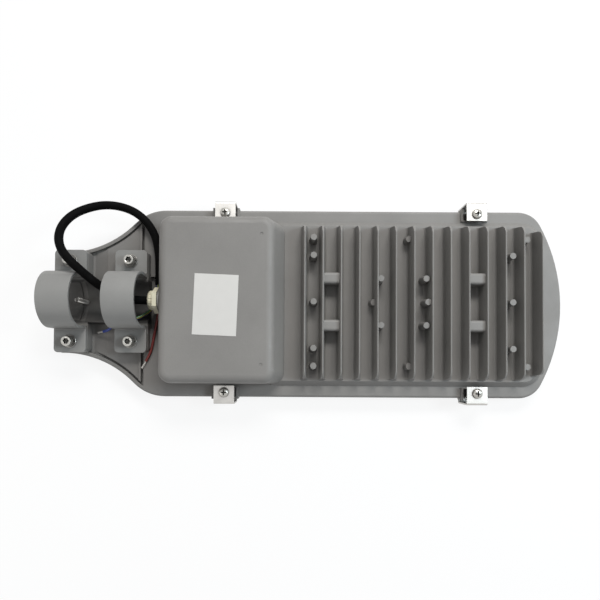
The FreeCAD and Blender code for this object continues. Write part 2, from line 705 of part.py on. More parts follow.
def clip_pocket(x, side):
    """Cheeks and screw boss of one clip, and the cut between the cheeks."""
    half = POCKET_HALF
    cheek = CHEEK_THICK
    proud_y = BODY_HALF + CHEEK_PROUD
    y0, y1 = sorted((side * (POCKET_START_Y - 1), side * proud_y))
    cheeks = block(x - half - cheek, x + half + cheek, y0, y1, -RIM_DEPTH, CHEEK_PROUD)
    y0, y1 = sorted((side * POCKET_START_Y, side * (proud_y + 1)))
    cut = block(x - half, x + half, y0, y1, POCKET_FLOOR_HEIGHT, CLIP_TAB_HEIGHT + 1)
    outside = sorted((side * BODY_HALF, side * (proud_y + 1)))
    gap = block(x - half, x + half, outside[0], outside[1], -RIM_DEPTH - 1, POCKET_FLOOR_HEIGHT + 1)
    y0, y1 = sorted((side * (POCKET_START_Y - 1), side * BOSS_END_Y))
    boss = block(x - BOSS_HALF, x + BOSS_HALF, y0, y1, POCKET_FLOOR_HEIGHT - 1,
                 CLIP_TAB_HEIGHT - THREAD_CLEARANCE)
    boss = boss.cut(block(x - BOSS_HALF, x + BOSS_HALF, min(0, side * POCKET_START_Y),
                          max(0, side * POCKET_START_Y), 0, CLIP_TAB_HEIGHT))
    return cheeks, [cut, gap], boss


def housing():
    """The die casting: rim, neck, driver box, heat sink and clip pockets in one piece."""
    rim = body_prism(0, -RIM_DEPTH, 0)
    rim = fillet_where(rim, RIM_EDGE_R, lambda m, e: abs(m.z - level(0)) < 0.01)
    neck_add, neck_cut = neck_top()
    pockets = [clip_pocket(x, side) for name, x, side in clip_places()]

    rim = rim.multiFuse([p[0] for p in pockets])
    for cut in neck_cut + [c for p in pockets for c in p[1]]:
        rim = rim.cut(cut)
    solid = fuse([rim] + neck_add + [p[2] for p in pockets] + driver_box() + heat_sink())

    chamber = chamber_prism(RIM_WALL, CHAMBER_START_X, CHAMBER_CORNER_R, -RIM_DEPTH - 1, CEILING_HEIGHT)
    for name, x, side in clip_places():
        y0, y1 = sorted((side * (POCKET_START_Y - POCKET_WALL), side * BODY_HALF))
        half = POCKET_HALF + CHEEK_THICK
        chamber = chamber.cut(block(x - half, x + half, y0, y1, -RIM_DEPTH - 2, 0))
    led_pocket = block(BOARD_START_X - LED_POCKET_MARGIN, BOARD_END_X + LED_POCKET_MARGIN,
                       -BOARD_HALF - LED_POCKET_MARGIN, BOARD_HALF + LED_POCKET_MARGIN,
                       CEILING_HEIGHT - 0.5, BOARD_TOP_HEIGHT)
    solid = solid.cut(fuse([chamber, led_pocket]))
    bay = driver_bay()
    for x, y in driver_screw_places():
        bay = bay.cut(upright(DRIVER_PILLAR_R, x, y, DRIVER_TOP_HEIGHT, BOX_HEIGHT))
    solid = solid.cut(bay).cut(neck_under())
    gland_x = BOX_START_X - GLAND_BOSS_PROUD
    inner_pad_x = BOX_START_X + BOX_WALL + LOCKNUT_PAD
    solid = solid.fuse(along_x(GLAND_BOSS_R, gland_x, BOX_START_X + 1, 0, GLAND_HEIGHT))
    solid = solid.fuse(along_x(GLAND_BOSS_R, BOX_START_X + BOX_WALL - 1, inner_pad_x, 0, GLAND_HEIGHT))

    grip_start = -SADDLE_LENGTH / 2
    relief_r = POLE_R + BORE_RELIEF
    holes = [along_x(POLE_R, grip_start, SADDLE_GRIP_END_X, 0, POLE_AXIS_HEIGHT),
             along_x(relief_r, NECK_END_X - 1, grip_start, 0, POLE_AXIS_HEIGHT),
             along_x(relief_r, SADDLE_GRIP_END_X, CRADLE_END_X + 1, 0, POLE_AXIS_HEIGHT),
             along_x(GLAND_HOLE_R, gland_x - 1, inner_pad_x + 1, 0, GLAND_HEIGHT),
             upright(STUD_R + THREAD_CLEARANCE, STUD_X, 0, -RIM_DEPTH - 1, POLE_AXIS_HEIGHT)]
    for y in (BOX_HALF - PIT_SIDE_IN, PIT_SIDE_IN - BOX_HALF):
        holes.append(upright(PIT_R, BOX_TOP_END_X - PIT_BEFORE_EDGE, y,
                             BOX_HEIGHT - PIT_DEPTH, BOX_HEIGHT + 1))
    for x in SADDLE_X.values():
        for y in (LUG_SCREW_Y, -LUG_SCREW_Y):
            holes.append(upright(M6_R + THREAD_CLEARANCE, x, y,
                                 saddle_screw_low() - 1, PAD_HEIGHT + 1))
    for name, x, side in clip_places():
        holes.append(upright(M5_R + THREAD_CLEARANCE, x, side * CLIP_SCREW_Y,
                             CLIP_TAB_HEIGHT - CLIP_SCREW_LENGTH + CLIP_THICK, CLIP_TAB_HEIGHT + 1))
    thread_r = M3_R + THREAD_CLEARANCE
    for x, y in board_screw_places():
        holes.append(upright(thread_r, x, y, BOARD_TOP_HEIGHT - 1,
                             BOARD_TOP_HEIGHT + M3_GRIP + M3_END_ROOM))
    for x, y in driver_screw_places():
        holes.append(upright(thread_r, x, y, DRIVER_TOP_HEIGHT - 1,
                             DRIVER_TOP_HEIGHT + M3_GRIP + M3_END_ROOM))
    for x, y in cover_screw_places():
        holes.append(upright(thread_r, x, y, CEILING_HEIGHT - 1,
                             CEILING_HEIGHT + COVER_SCREW_GRIP + M3_END_ROOM))
    return solid.cut(holes[0].multiFuse(holes[1:])).removeSplitter()


def saddle(x):
    """Cast pole saddle: half-round arch on two legs, each with a lug for one screw."""
    outer_r = POLE_R + SADDLE_WALL
    half = SADDLE_LENGTH / 2
    legs = block(x - half, x + half, -outer_r, outer_r, PAD_HEIGHT, POLE_AXIS_HEIGHT)
    arch = along_x(outer_r, x - half, x + half, 0, POLE_AXIS_HEIGHT)
    arch = arch.cut(block(x - half - 1, x + half + 1, -outer_r - 1, outer_r + 1,
                          POLE_AXIS_HEIGHT - outer_r - 1, POLE_AXIS_HEIGHT))
    lug_half = LUG_LENGTH / 2
    lug = block(x - lug_half, x + lug_half, -LUG_REACH, LUG_REACH, PAD_HEIGHT, LUG_TOP_HEIGHT)
    lug = fillet_where(lug, LUG_CORNER_R, lambda m, e: e.Length < LUG_THICK + 0.01)
    form = fuse([arch, legs, lug])
    bore = along_x(POLE_R, x - LUG_LENGTH, x + LUG_LENGTH, 0, POLE_AXIS_HEIGHT)
    way = block(x - LUG_LENGTH, x + LUG_LENGTH, -POLE_R, POLE_R, PAD_HEIGHT - 1, POLE_AXIS_HEIGHT)
    relief_r = POLE_R + BORE_RELIEF
    relief = along_x(relief_r, x + SADDLE_GRIP_END_X, x + LUG_LENGTH, 0, POLE_AXIS_HEIGHT)
    relief = relief.cut(block(x, x + LUG_LENGTH + 1, -relief_r - 1, relief_r + 1, -1, PAD_HEIGHT))
    holes = [upright(M6_CLEARANCE_R, x, y, PAD_HEIGHT - 1, LUG_TOP_HEIGHT + 1)
             for y in (LUG_SCREW_Y, -LUG_SCREW_Y)]
    form = form.cut(fuse([bore, way])).cut(relief).cut(holes[0].fuse(holes[1]))
    root_z = level(LUG_TOP_HEIGHT)
    return fillet_where(form, SADDLE_ROOT_R, lambda m, e: abs(m.z - root_z) < 0.01
                        and abs(abs(m.y) - outer_r) < 0.01)


def saddle_screw_low():
    return LUG_TOP_HEIGHT + FLAT_WASHER_THICK + SPRING_WASHER_THICK - M6_LENGTH


def saddle_fasteners():
    """Cap screws, spring washers and flat washers, four of each."""
    screws, springs, flats = [], [], []
    for x in SADDLE_X.values():
        for y in (LUG_SCREW_Y, -LUG_SCREW_Y):
            base = LUG_TOP_HEIGHT
            flat_top = base + FLAT_WASHER_THICK
            seat = flat_top + SPRING_WASHER_THICK
            bore = upright(M6_CLEARANCE_R, x, y, base - 1, seat + 1)
            flats.append(upright(FLAT_WASHER_R, x, y, base, flat_top).cut(bore))
            ring = upright(SPRING_WASHER_R, x, y, flat_top, seat).cut(bore)
            springs.append(ring.cut(block(x, x + SPRING_WASHER_R + 1, y - SPRING_WASHER_GAP / 2,
                                          y + SPRING_WASHER_GAP / 2, base, seat + 1)))
            head = upright(M6_HEAD_R, x, y, seat, seat + M6_HEAD_HEIGHT)
            top_z = level(seat + M6_HEAD_HEIGHT)
            head = fillet_where(head, M6_HEAD_EDGE_R, lambda m, e: abs(m.z - top_z) < 0.01)
            screw = head.fuse(upright(M6_R, x, y, saddle_screw_low(), seat))
            screws.append(screw.cut(socket(x, y, seat + M6_HEAD_HEIGHT)))
    return screws, springs, flats


def socket(x, y, top):
    """Hexagonal socket of a cap screw."""
    corner_r = M6_SOCKET_ACROSS / math.sqrt(3)
    corners = [at(x + corner_r * math.cos(math.radians(60 * i)),
                  y + corner_r * math.sin(math.radians(60 * i)), top - M6_SOCKET_DEPTH)
               for i in range(7)]
    return prism(Part.makePolygon(corners), Vector(0, 0, M6_SOCKET_DEPTH + 1))


def clip(x, side):
    """Folded strap: tab on the boss, leg down the rim and lip under the glass."""
    thick = CLIP_THICK
    tab_low = CLIP_TAB_HEIGHT
    low = CLIP_LOW_HEIGHT
    outer_y = CLIP_LEG_Y
    inner_y = CLIP_LEG_Y - thick
    points = [(CLIP_TAB_END_Y, tab_low), (inner_y, tab_low), (inner_y, low + thick),
              (CLIP_LIP_END_Y, low + thick), (CLIP_LIP_END_Y, low), (outer_y, low),
              (outer_y, tab_low + thick), (CLIP_TAB_END_Y, tab_low + thick), (CLIP_TAB_END_Y, tab_low)]
    x0 = x - CLIP_WIDTH / 2
    wire = Part.makePolygon([at(x0, side * y, h) for y, h in points])
    strap = prism(wire, Vector(CLIP_WIDTH, 0, 0))
    is_corner = lambda m, y, h: abs(m.y - side * y) < 0.01 and abs(m.z - level(h)) < 0.01
    strap = fillet_where(strap, CLIP_BEND_R, lambda m, e: is_corner(m, outer_y, low)
                         or is_corner(m, outer_y, tab_low + thick))
    strap = fillet_where(strap, CLIP_BEND_R - thick, lambda m, e: is_corner(m, inner_y, low + thick)
                         or is_corner(m, inner_y, tab_low))
    return strap.cut(upright(CLIP_HOLE_R, x, side * CLIP_SCREW_Y, tab_low - 1, tab_low + thick + 1))


def clip_screw(x, side):
    """Pan-head screw with a cross recess, tapped into the boss."""
    seat = CLIP_TAB_HEIGHT + CLIP_THICK
    y = side * CLIP_SCREW_Y
    top = seat + M5_HEAD_HEIGHT
    head = upright(M5_HEAD_R, x, y, seat, top)
    head = fillet_where(head, M5_HEAD_HEIGHT * 0.6, lambda m, e: abs(m.z - level(top)) < 0.01)
    shank = upright(M5_R, x, y, seat - CLIP_SCREW_LENGTH + CLIP_SCREW_END_ROOM, seat)
    long_half, short_half = M5_HEAD_R * 0.5, M5_HEAD_R * 0.13
    low = top - M5_CROSS_DEPTH
    cross = block(x - long_half, x + long_half, y - short_half, y + short_half, low, top + 1)
    cross = cross.fuse(block(x - short_half, x + short_half, y - long_half, y + long_half, low, top + 1))
    return head.fuse(shank).cut(cross)


def gasket():
    outer = chamber_prism(GASKET_INSET, GLASS_START_X + GASKET_INSET - GLASS_INSET, GLASS_CORNER_R,
                          GLASS_TOP_HEIGHT, GASKET_TOP_HEIGHT)
    inset = GASKET_INSET + GASKET_WIDTH
    inner = chamber_prism(inset, GLASS_START_X + inset - GLASS_INSET, GLASS_CORNER_R - 1,
                          GLASS_TOP_HEIGHT - 1, GASKET_TOP_HEIGHT + 1)
    return outer.cut(inner)


def glass():
    return chamber_prism(GLASS_INSET, GLASS_START_X, GLASS_CORNER_R, GLASS_LOW_HEIGHT, GLASS_TOP_HEIGHT)


def gland_parts():
    """Gland body, its seal on the wall, the locknut inside and the domed nut outside."""
    wall_x = BOX_START_X - GLAND_BOSS_PROUD
    seal_x = wall_x - GLAND_SEAL_THICK
    hex_x = seal_x - GLAND_HEX_THICK
    nut_x = gland_mouth_x()
    nut_end_x = nut_x + GLAND_NUT_LENGTH
    inner_x = BOX_START_X + BOX_WALL + LOCKNUT_PAD
    nose_r = GLAND_THREAD_R - GLAND_THREAD_STEP
    y, h = 0, GLAND_HEIGHT
    cable = along_x(CABLE_R + THREAD_CLEARANCE, nut_x - 1, inner_x + GLAND_TAIL + 1, y, h)
    body = hexagon(GLAND_HEX_ACROSS, hex_x, seal_x, y, h)
    body = fuse([body, along_x(GLAND_THREAD_R, seal_x, inner_x + GLAND_TAIL, y, h),
                 along_x(nose_r, nut_x + GLAND_NUT_FACE, hex_x, y, h)]).cut(cable)
    nut = along_x(GLAND_NUT_R, nut_x, nut_end_x, y, h)
    nut = fillet_where(nut, GLAND_NUT_NOSE_R, lambda m, e: abs(m.x - nut_x) < 0.01)
    r = GLAND_NUT_R + GLAND_FLUTE_OUT
    for i in range(GLAND_FLUTE_COUNT):
        turn = 2 * math.pi * i / GLAND_FLUTE_COUNT
        nut = nut.cut(along_x(GLAND_FLUTE_R, nut_x + GLAND_NUT_FACE, nut_end_x + 1,
                              y + r * math.cos(turn), h + r * math.sin(turn)))
    nut = nut.cut(along_x(nose_r + THREAD_CLEARANCE, nut_x + GLAND_NUT_FACE - THREAD_CLEARANCE,
                          nut_end_x + 1, y, h)).cut(cable)
    seal = along_x(GLAND_SEAL_R, seal_x + THREAD_CLEARANCE, wall_x - THREAD_CLEARANCE, y, h)
    seal = seal.cut(along_x(GLAND_THREAD_R + THREAD_CLEARANCE, seal_x - 1, wall_x + 1, y, h))
    locknut_x = inner_x + THREAD_CLEARANCE
    locknut = hexagon(LOCKNUT_ACROSS, locknut_x, locknut_x + LOCKNUT_THICK, y, h)
    locknut = locknut.cut(along_x(GLAND_THREAD_R + THREAD_CLEARANCE, locknut_x - 1,
                                  locknut_x + LOCKNUT_THICK + 1, y, h))
    return body, nut, seal, locknut


def gland_mouth_x():
    wall_x = BOX_START_X - GLAND_BOSS_PROUD
    return wall_x - GLAND_SEAL_THICK - GLAND_HEX_THICK - GLAND_NUT_LENGTH


def stud():
    rod = upright(STUD_R, STUD_X, 0, -RIM_DEPTH + STUD_END_IN, STUD_TOP_HEIGHT)
    return rod.makeChamfer(STUD_CHAMFER, [e for e in rod.Edges if len(e.Vertexes) == 1
                                 and abs(e.CenterOfMass.z - level(STUD_TOP_HEIGHT)) < 0.01])


# Routes of the free cable and its cores, as x, y and height over the flange.
CABLE_ROUTE = (
    (67.0, 0.0, 20.0), (53.0, 2.4, 21.2), (40.6, 8.4, 25.2), (29.5, 17.0, 32.2), (20.5, 26.0, 39.6),
    (11.6, 34.6, 43.2), (3.4, 45.0, 42.0), (-1.0, 57.4, 37.2), (-0.2, 70.2, 30.6), (6.8, 81.6, 24.4),
    (18.8, 89.4, 19.0), (32.6, 93.8, 14.8), (46.8, 93.6, 11.4), (60.2, 89.4, 8.8), (71.4, 80.8, 7.0),
    (79.2, 69.2, 6.0), (82.9, 57.4, 5.6), (84.6, 45.0, 5.4), (85.0, 31.0, 5.4), (85.0, 17.2, 5.4),
)
BROWN_ROUTE = (
    (86.9, 17.2, 4.6), (86.9, 8.5, 4.6), (85.6, -2.0, 3.8), (83.5, -12.5, 3.0), (81.3, -23.0, 2.2),
    (79.3, -33.5, 1.8), (77.7, -43.2, 1.7), (75.3, -51.6, 1.7), (71.4, -58.6, 1.7),
)
EARTH_ROUTE = (
    (85.0, 17.2, 7.1), (85.0, 9.8, 7.1), (84.0, 2.4, 6.2), (80.6, -4.0, 5.9), (75.6, -9.4, 6.9),
    (70.2, -13.8, 9.8), (64.8, -16.6, 12.8), (59.4, -18.2, 14.4),
)
BLUE_ROUTE = (
    (83.1, 17.2, 4.6), (83.1, 10.4, 4.6), (82.6, 3.6, 3.4), (80.0, -3.4, 2.8), (75.2, -9.2, 3.9),
    (69.6, -14.0, 6.8), (63.6, -17.4, 10.0), (57.0, -19.0, 11.4), (50.6, -20.0, 12.0), (44.2, -20.6, 12.2),
    (39.5, -26.2, 11.0), (35.0, -28.8, 8.4), (30.4, -29.4, 5.6),
)


def tube(name, route, radius):
    """Round cord along straight runs joined by tangent arcs, and the radii of its bends."""
    points = [at(*p) for p in route]
    edges, radii, length = [], [], 0.0
    last = points[0]
    for before, corner, after in zip(points, points[1:], points[2:]):
        into = corner - before
        out = after - corner
        turn = into.getAngle(out)
        reach = 0.45 * min(into.Length, out.Length)
        bend_r = reach / math.tan(turn / 2)
        into.normalize()
        out.normalize()
        start = corner - into * reach
        end = corner + out * reach
        inward = (out - into).normalize()
        middle = corner + inward * (bend_r / math.cos(turn / 2) - bend_r)
        edges.append(Part.makeLine(last, start))
        edges.append(arc(start, middle, end))
        length += (start - last).Length + bend_r * turn
        radii.append(round(bend_r, 1))
        last = end
    edges.append(Part.makeLine(last, points[-1]))
    length += (points[-1] - last).Length
    path = Part.Wire(edges)
    first = (points[1] - points[0]).normalize()
    circle = Part.Wire(Part.makeCircle(radius, points[0], first))
    solid = path.makePipeShell([circle], True, False)
    expected = math.pi * radius ** 2 * length
    print(name, "length", round(length, 1), "radii", radii, "volume ratio",
          round(solid.Volume / expected, 4))
    return solid


def tinned_tip(route):
    """Bare tinned end that carries on in a core's last direction."""
    end, before = at(*route[-1]), at(*route[-2])
    return Part.makeCylinder(TIP_R_TINNED, TIP_LENGTH, end, (end - before).normalize())


def driver_screw_places():
    y = DRIVER_HALF + DRIVER_FOOT_REACH / 2
    return [(x, side * y) for x in DRIVER_SCREW_X for side in (1, -1)]


def cover_screw_places():
    end_x = COVER_END_X - COVER_END_SCREW_IN
    tab_y = BOX_HALF + COVER_TAB_SCREW
    return [(x, side * y) for x, y in ((end_x, COVER_SCREW_Y), (COVER_TAB_X, tab_y)) for side in (1, -1)]


def m3_screw(x, y, seat, grip):
    """Small pan-head screw that goes up into the casting, its head below the seat."""
    head = upright(M3_HEAD_R, x, y, seat - M3_HEAD_HEIGHT, seat)
    low_z = level(seat - M3_HEAD_HEIGHT)
    head = fillet_where(head, M3_HEAD_EDGE_R, lambda m, e: abs(m.z - low_z) < 0.01)
    return head.fuse(upright(M3_R, x, y, seat, grip))


def led_board():
    top = BOARD_TOP_HEIGHT
    board = block(BOARD_START_X, BOARD_END_X, -BOARD_HALF, BOARD_HALF, top - BOARD_THICK, top)
    for x, y in board_screw_places():
        board = board.cut(upright(M3_R + M3_HOLE_ROOM, x, y, top - BOARD_THICK - 1, top + 1))
    return board


def leds():
    """Rows of surface-mounted emitters on the board's lit side."""
    high = BOARD_TOP_HEIGHT - BOARD_THICK
    half = LED_SIDE / 2
    chips = []
    for i in range(LED_COLUMNS):
        x = LED_FIRST_X + i * LED_COLUMN_PITCH
        for row in range(LED_ROWS):
            for y in (LED_ROW_PITCH * (row + 0.5), -LED_ROW_PITCH * (row + 0.5)):
                chips.append(block(x - half, x + half, y - half, y + half, high - LED_THICK, high))
    return chips


def reflector():
    """Folded white tray: a sloping frame from the board's edge down to the glass."""
    high = BOARD_TOP_HEIGHT - BOARD_THICK - TRAY_BOARD_GAP
    low = high - TRAY_DEPTH
    overlap = TRAY_OVERLAP
    sheet = TRAY_SHEET

    def shell(grow, top, bottom):
        inner = rounded_rectangle(BOARD_START_X + overlap - grow, BOARD_END_X - overlap + grow,
                                  BOARD_HALF - overlap + grow, TRAY_MOUTH_R + grow, top)
        outer = rounded_rectangle(TRAY_START_X - grow, TRAY_END_X + grow, TRAY_HALF + grow,
                                  TRAY_CORNER_R + grow, bottom)
        return ruled_solid(outer, inner)

    frame = shell(0, high, low).cut(shell(-sheet, high + 0.01, low - 0.01))
    notch = LEAD_NOTCH_HALF
    frame = frame.cut(block(TRAY_START_X - 1, BOARD_START_X + overlap + 3, -notch, notch, low - 1, high + 1))
    screw_heads = [upright(M3_HEAD_R + TRAY_SCREW_ROOM, x, y, low - 1, high + 1)
                   for x, y in board_screw_places()]
    return frame.cut(screw_heads[0].multiFuse(screw_heads[1:]))


def driver():
    """Encapsulated driver with a foot at each end."""
    case = block(DRIVER_START_X, DRIVER_END_X, -DRIVER_HALF, DRIVER_HALF,
                 DRIVER_LOW_HEIGHT, DRIVER_TOP_HEIGHT - DRIVER_CASE_GAP)
    case = case.makeFillet(DRIVER_CORNER_R, case.Edges)
    reach = DRIVER_HALF + DRIVER_FOOT_REACH
    foot_top = DRIVER_TOP_HEIGHT - THREAD_CLEARANCE
    foot = block(DRIVER_START_X + DRIVER_FOOT_END_IN, DRIVER_END_X - DRIVER_FOOT_END_IN, -reach, reach,
                 foot_top - DRIVER_FOOT_THICK, foot_top)
    foot = fillet_where(foot, DRIVER_FOOT_R, lambda m, e: e.Length < DRIVER_FOOT_THICK + 0.01)
    form = fuse([case, foot])
    for x, y in driver_screw_places():
        form = form.cut(upright(M3_R + M3_HOLE_ROOM, x, y, DRIVER_LOW_HEIGHT, DRIVER_TOP_HEIGHT + 1))
    return form


def driver_cover():
    """White plate that closes the driver bay towards the lit side."""
    high = CEILING_HEIGHT - THREAD_CLEARANCE
    low = high - COVER_THICK
    plate = block(CHAMBER_START_X + COVER_END_GAP, COVER_END_X, -COVER_HALF, COVER_HALF, low, high)
    tab_y = BOX_HALF + COVER_TAB_REACH
    half = COVER_TAB_HALF
    plate = fuse([plate, block(COVER_TAB_X - half, COVER_TAB_X + half, -tab_y, tab_y, low, high)])
    plate = plate.cut(upright(COVER_HOLE_R, COVER_HOLE_X, 0, low - 1, high + 1))
    for x, y in cover_screw_places():
        plate = plate.cut(upright(M3_R + M3_HOLE_ROOM, x, y, low - 1, high + 1))
    return plate


def dc_leads():
    """Two leads from the driver, through the plate, to the LED board."""
    board_low = BOARD_TOP_HEIGHT - BOARD_THICK
    under = CEILING_HEIGHT - COVER_THICK - 2.2
    pad_x = BOARD_START_X + DC_PAD_PAST_BOARD
    leads = []
    for y in (DC_LEAD_Y, -DC_LEAD_Y):
        route = ((DRIVER_END_X, y, 12.0), (COVER_HOLE_X - 8, y, 12.0), (COVER_HOLE_X - 1.5, y, 6.0),
                 (COVER_HOLE_X - 0.5, y, -1.5), (COVER_HOLE_X + 4.5, y, under - 1.2),
                 (COVER_HOLE_X + 13, y, under - 1.6), (COVER_HOLE_X + 24, y, under - 1.2),
                 (BOARD_START_X, y, under + 1.2), (pad_x + DC_PAD_LENGTH / 2, y, board_low - 1.8))
        leads.append(tube("dc_lead", route, DC_LEAD_R))
    pads = [block(pad_x, pad_x + DC_PAD_LENGTH, y - DC_PAD_HALF, y + DC_PAD_HALF,
                  board_low - DC_PAD_HEIGHT, board_low)
            for y in (DC_LEAD_Y, -DC_LEAD_Y)]
    return [fuse([lead, pad]) for lead, pad in zip(leads, pads)]


def label():
    plate = Part.makeBox(LABEL_WIDTH, LABEL_LENGTH, LABEL_THICK,
                         Vector(-LABEL_WIDTH / 2, -LABEL_LENGTH / 2, 0))
    plate.rotate(Vector(0, 0, 0), Vector(0, 0, 1), LABEL_TURN)
    plate.translate(at(LABEL_X, LABEL_Y, BOX_HEIGHT))
    return plate


def cable_tail():
    """The cable's stretch inside the gland, and its three leads to the driver."""
    jacket = along_x(CABLE_R, gland_mouth_x(), TAIL_END_X, 0, GLAND_HEIGHT)
    leads = []
    for i in range(3):
        turn = math.radians(120 * i + 90)
        leads.append(along_x(CORE_R, TAIL_END_X, DRIVER_START_X, TAIL_CORE_RING_R * math.cos(turn),
                             GLAND_HEIGHT + TAIL_CORE_RING_R * math.sin(turn)))
    return jacket, leads


def build():
    parts = {"housing": housing()}
    for name, x in SADDLE_X.items():
        parts[name + "_pole_saddle"] = saddle(x)
    screws, springs, flats = saddle_fasteners()
    parts["saddle_screws"] = screws
    parts["saddle_spring_washers"] = springs
    parts["saddle_flat_washers"] = flats
    for name, x, side in clip_places():
        parts["glass_clip_" + name] = clip(x, side)
    parts["clip_screws"] = [clip_screw(x, side) for name, x, side in clip_places()]
    parts["locking_stud"] = stud()
    gland = gland_parts()
    for name, shape in zip(("gland_body", "gland_nut", "gland_seal", "gland_locknut"), gland):
        parts[name] = shape
    parts["cable_tail"], parts["driver_input_leads"] = cable_tail()
    route = ((gland_mouth_x(), 0.0, GLAND_HEIGHT),) + CABLE_ROUTE
    parts["power_cable"] = tube("power_cable", route, CABLE_R)
    tips = []
    for name, core in (("brown", BROWN_ROUTE), ("earth", EARTH_ROUTE), ("blue", BLUE_ROUTE)):
        parts[name + "_core"] = tube(name + "_core", core, CORE_R)
        tips.append(tinned_tip(core))
    parts["tinned_core_tips"] = tips
    parts["glass"] = glass()
    parts["glass_gasket"] = gasket()
    parts["led_board"] = led_board()
    parts["leds"] = leds()
    parts["led_board_screws"] = [
        m3_screw(x, y, BOARD_TOP_HEIGHT - BOARD_THICK, BOARD_TOP_HEIGHT + M3_GRIP)
        for x, y in board_screw_places()]
    parts["reflector"] = reflector()
    parts["led_driver"] = driver()
    foot_low = DRIVER_TOP_HEIGHT - THREAD_CLEARANCE - DRIVER_FOOT_THICK
    parts["driver_screws"] = [m3_screw(x, y, foot_low, DRIVER_TOP_HEIGHT + M3_GRIP)
                              for x, y in driver_screw_places()]
    parts["driver_cover"] = driver_cover()
    parts["driver_cover_screws"] = [
        m3_screw(x, y, CEILING_HEIGHT - COVER_THICK - THREAD_CLEARANCE, CEILING_HEIGHT + COVER_SCREW_GRIP)
        for x, y in cover_screw_places()]
    parts["dc_leads"] = dc_leads()
    parts["label"] = label()
    return parts


os.makedirs("parts", exist_ok=True)
for node, shape in build().items():
    if isinstance(shape, list):
        shape = Part.makeCompound(shape)
    shape.exportStep(os.path.join("parts", node + ".step"))
    print(node, len(shape.Solids), shape.isValid(), round(shape.Volume, 1))
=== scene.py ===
import math

import bmesh
import bpy
from mathutils import Matrix, Vector


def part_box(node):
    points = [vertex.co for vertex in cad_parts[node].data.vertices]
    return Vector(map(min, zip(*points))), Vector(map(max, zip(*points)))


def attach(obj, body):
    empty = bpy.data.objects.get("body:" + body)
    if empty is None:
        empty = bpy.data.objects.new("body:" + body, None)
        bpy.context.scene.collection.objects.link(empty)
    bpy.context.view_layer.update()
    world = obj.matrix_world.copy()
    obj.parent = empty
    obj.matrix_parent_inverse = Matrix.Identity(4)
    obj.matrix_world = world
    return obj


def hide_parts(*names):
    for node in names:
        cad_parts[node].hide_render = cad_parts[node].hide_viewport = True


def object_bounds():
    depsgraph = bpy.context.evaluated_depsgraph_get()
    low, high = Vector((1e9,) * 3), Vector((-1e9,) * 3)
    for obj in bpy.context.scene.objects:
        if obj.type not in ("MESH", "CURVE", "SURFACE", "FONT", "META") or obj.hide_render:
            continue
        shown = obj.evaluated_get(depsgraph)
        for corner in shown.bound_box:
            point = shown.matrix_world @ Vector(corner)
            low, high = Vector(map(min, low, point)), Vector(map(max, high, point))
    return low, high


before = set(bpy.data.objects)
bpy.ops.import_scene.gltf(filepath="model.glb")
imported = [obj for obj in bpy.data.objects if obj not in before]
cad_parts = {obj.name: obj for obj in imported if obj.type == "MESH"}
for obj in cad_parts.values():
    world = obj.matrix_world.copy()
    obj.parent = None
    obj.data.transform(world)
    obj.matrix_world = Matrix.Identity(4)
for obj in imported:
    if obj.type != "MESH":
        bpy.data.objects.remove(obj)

cad_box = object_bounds()
MM = 0.001
AXIS_HEIGHT = 24.3          # the pole axis over the flange's upper face, in mm


def at(x, y, height):
    """A point of the CAD part: x, y and height over the flange in mm, given back in metres."""
    return Vector((x * MM, y * MM, (height - AXIS_HEIGHT) * MM))


def height_of(z):
    """Height over the flange in mm of a place in metres."""
    return z / MM + AXIS_HEIGHT


class Tree:
    """Short calls for a node tree."""

    def __init__(self, tree):
        self.tree = tree

    def add(self, kind, **values):
        node = self.tree.nodes.new(kind)
        for key, value in values.items():
            setattr(node, key, value)
        return node

    def link(self, source, target):
        self.tree.links.new(source, target)

    def combine(self, operation, *values):
        """A math node, with numbers or sockets as its inputs."""
        node = self.add("ShaderNodeMath", operation=operation)
        for target, value in zip(node.inputs, values):
            if isinstance(value, (int, float)):
                target.default_value = value
            else:
                self.link(value, target)
        return node.outputs[0]

    def mix_shaders(self, factor, one, two):
        node = self.add("ShaderNodeMixShader")
        for target, value in zip(node.inputs, (factor, one, two)):
            self.link(value, target)
        return node.outputs[0]

    def looking_rays(self):
        """1 for what the camera sees, also mirrored or through glass, and 0 where light is gathered."""
        rays = self.add("ShaderNodeLightPath").outputs
        direct = self.combine("MAXIMUM", rays["Is Camera Ray"], rays["Is Glossy Ray"])
        return self.combine("MAXIMUM", direct, rays["Is Transmission Ray"])


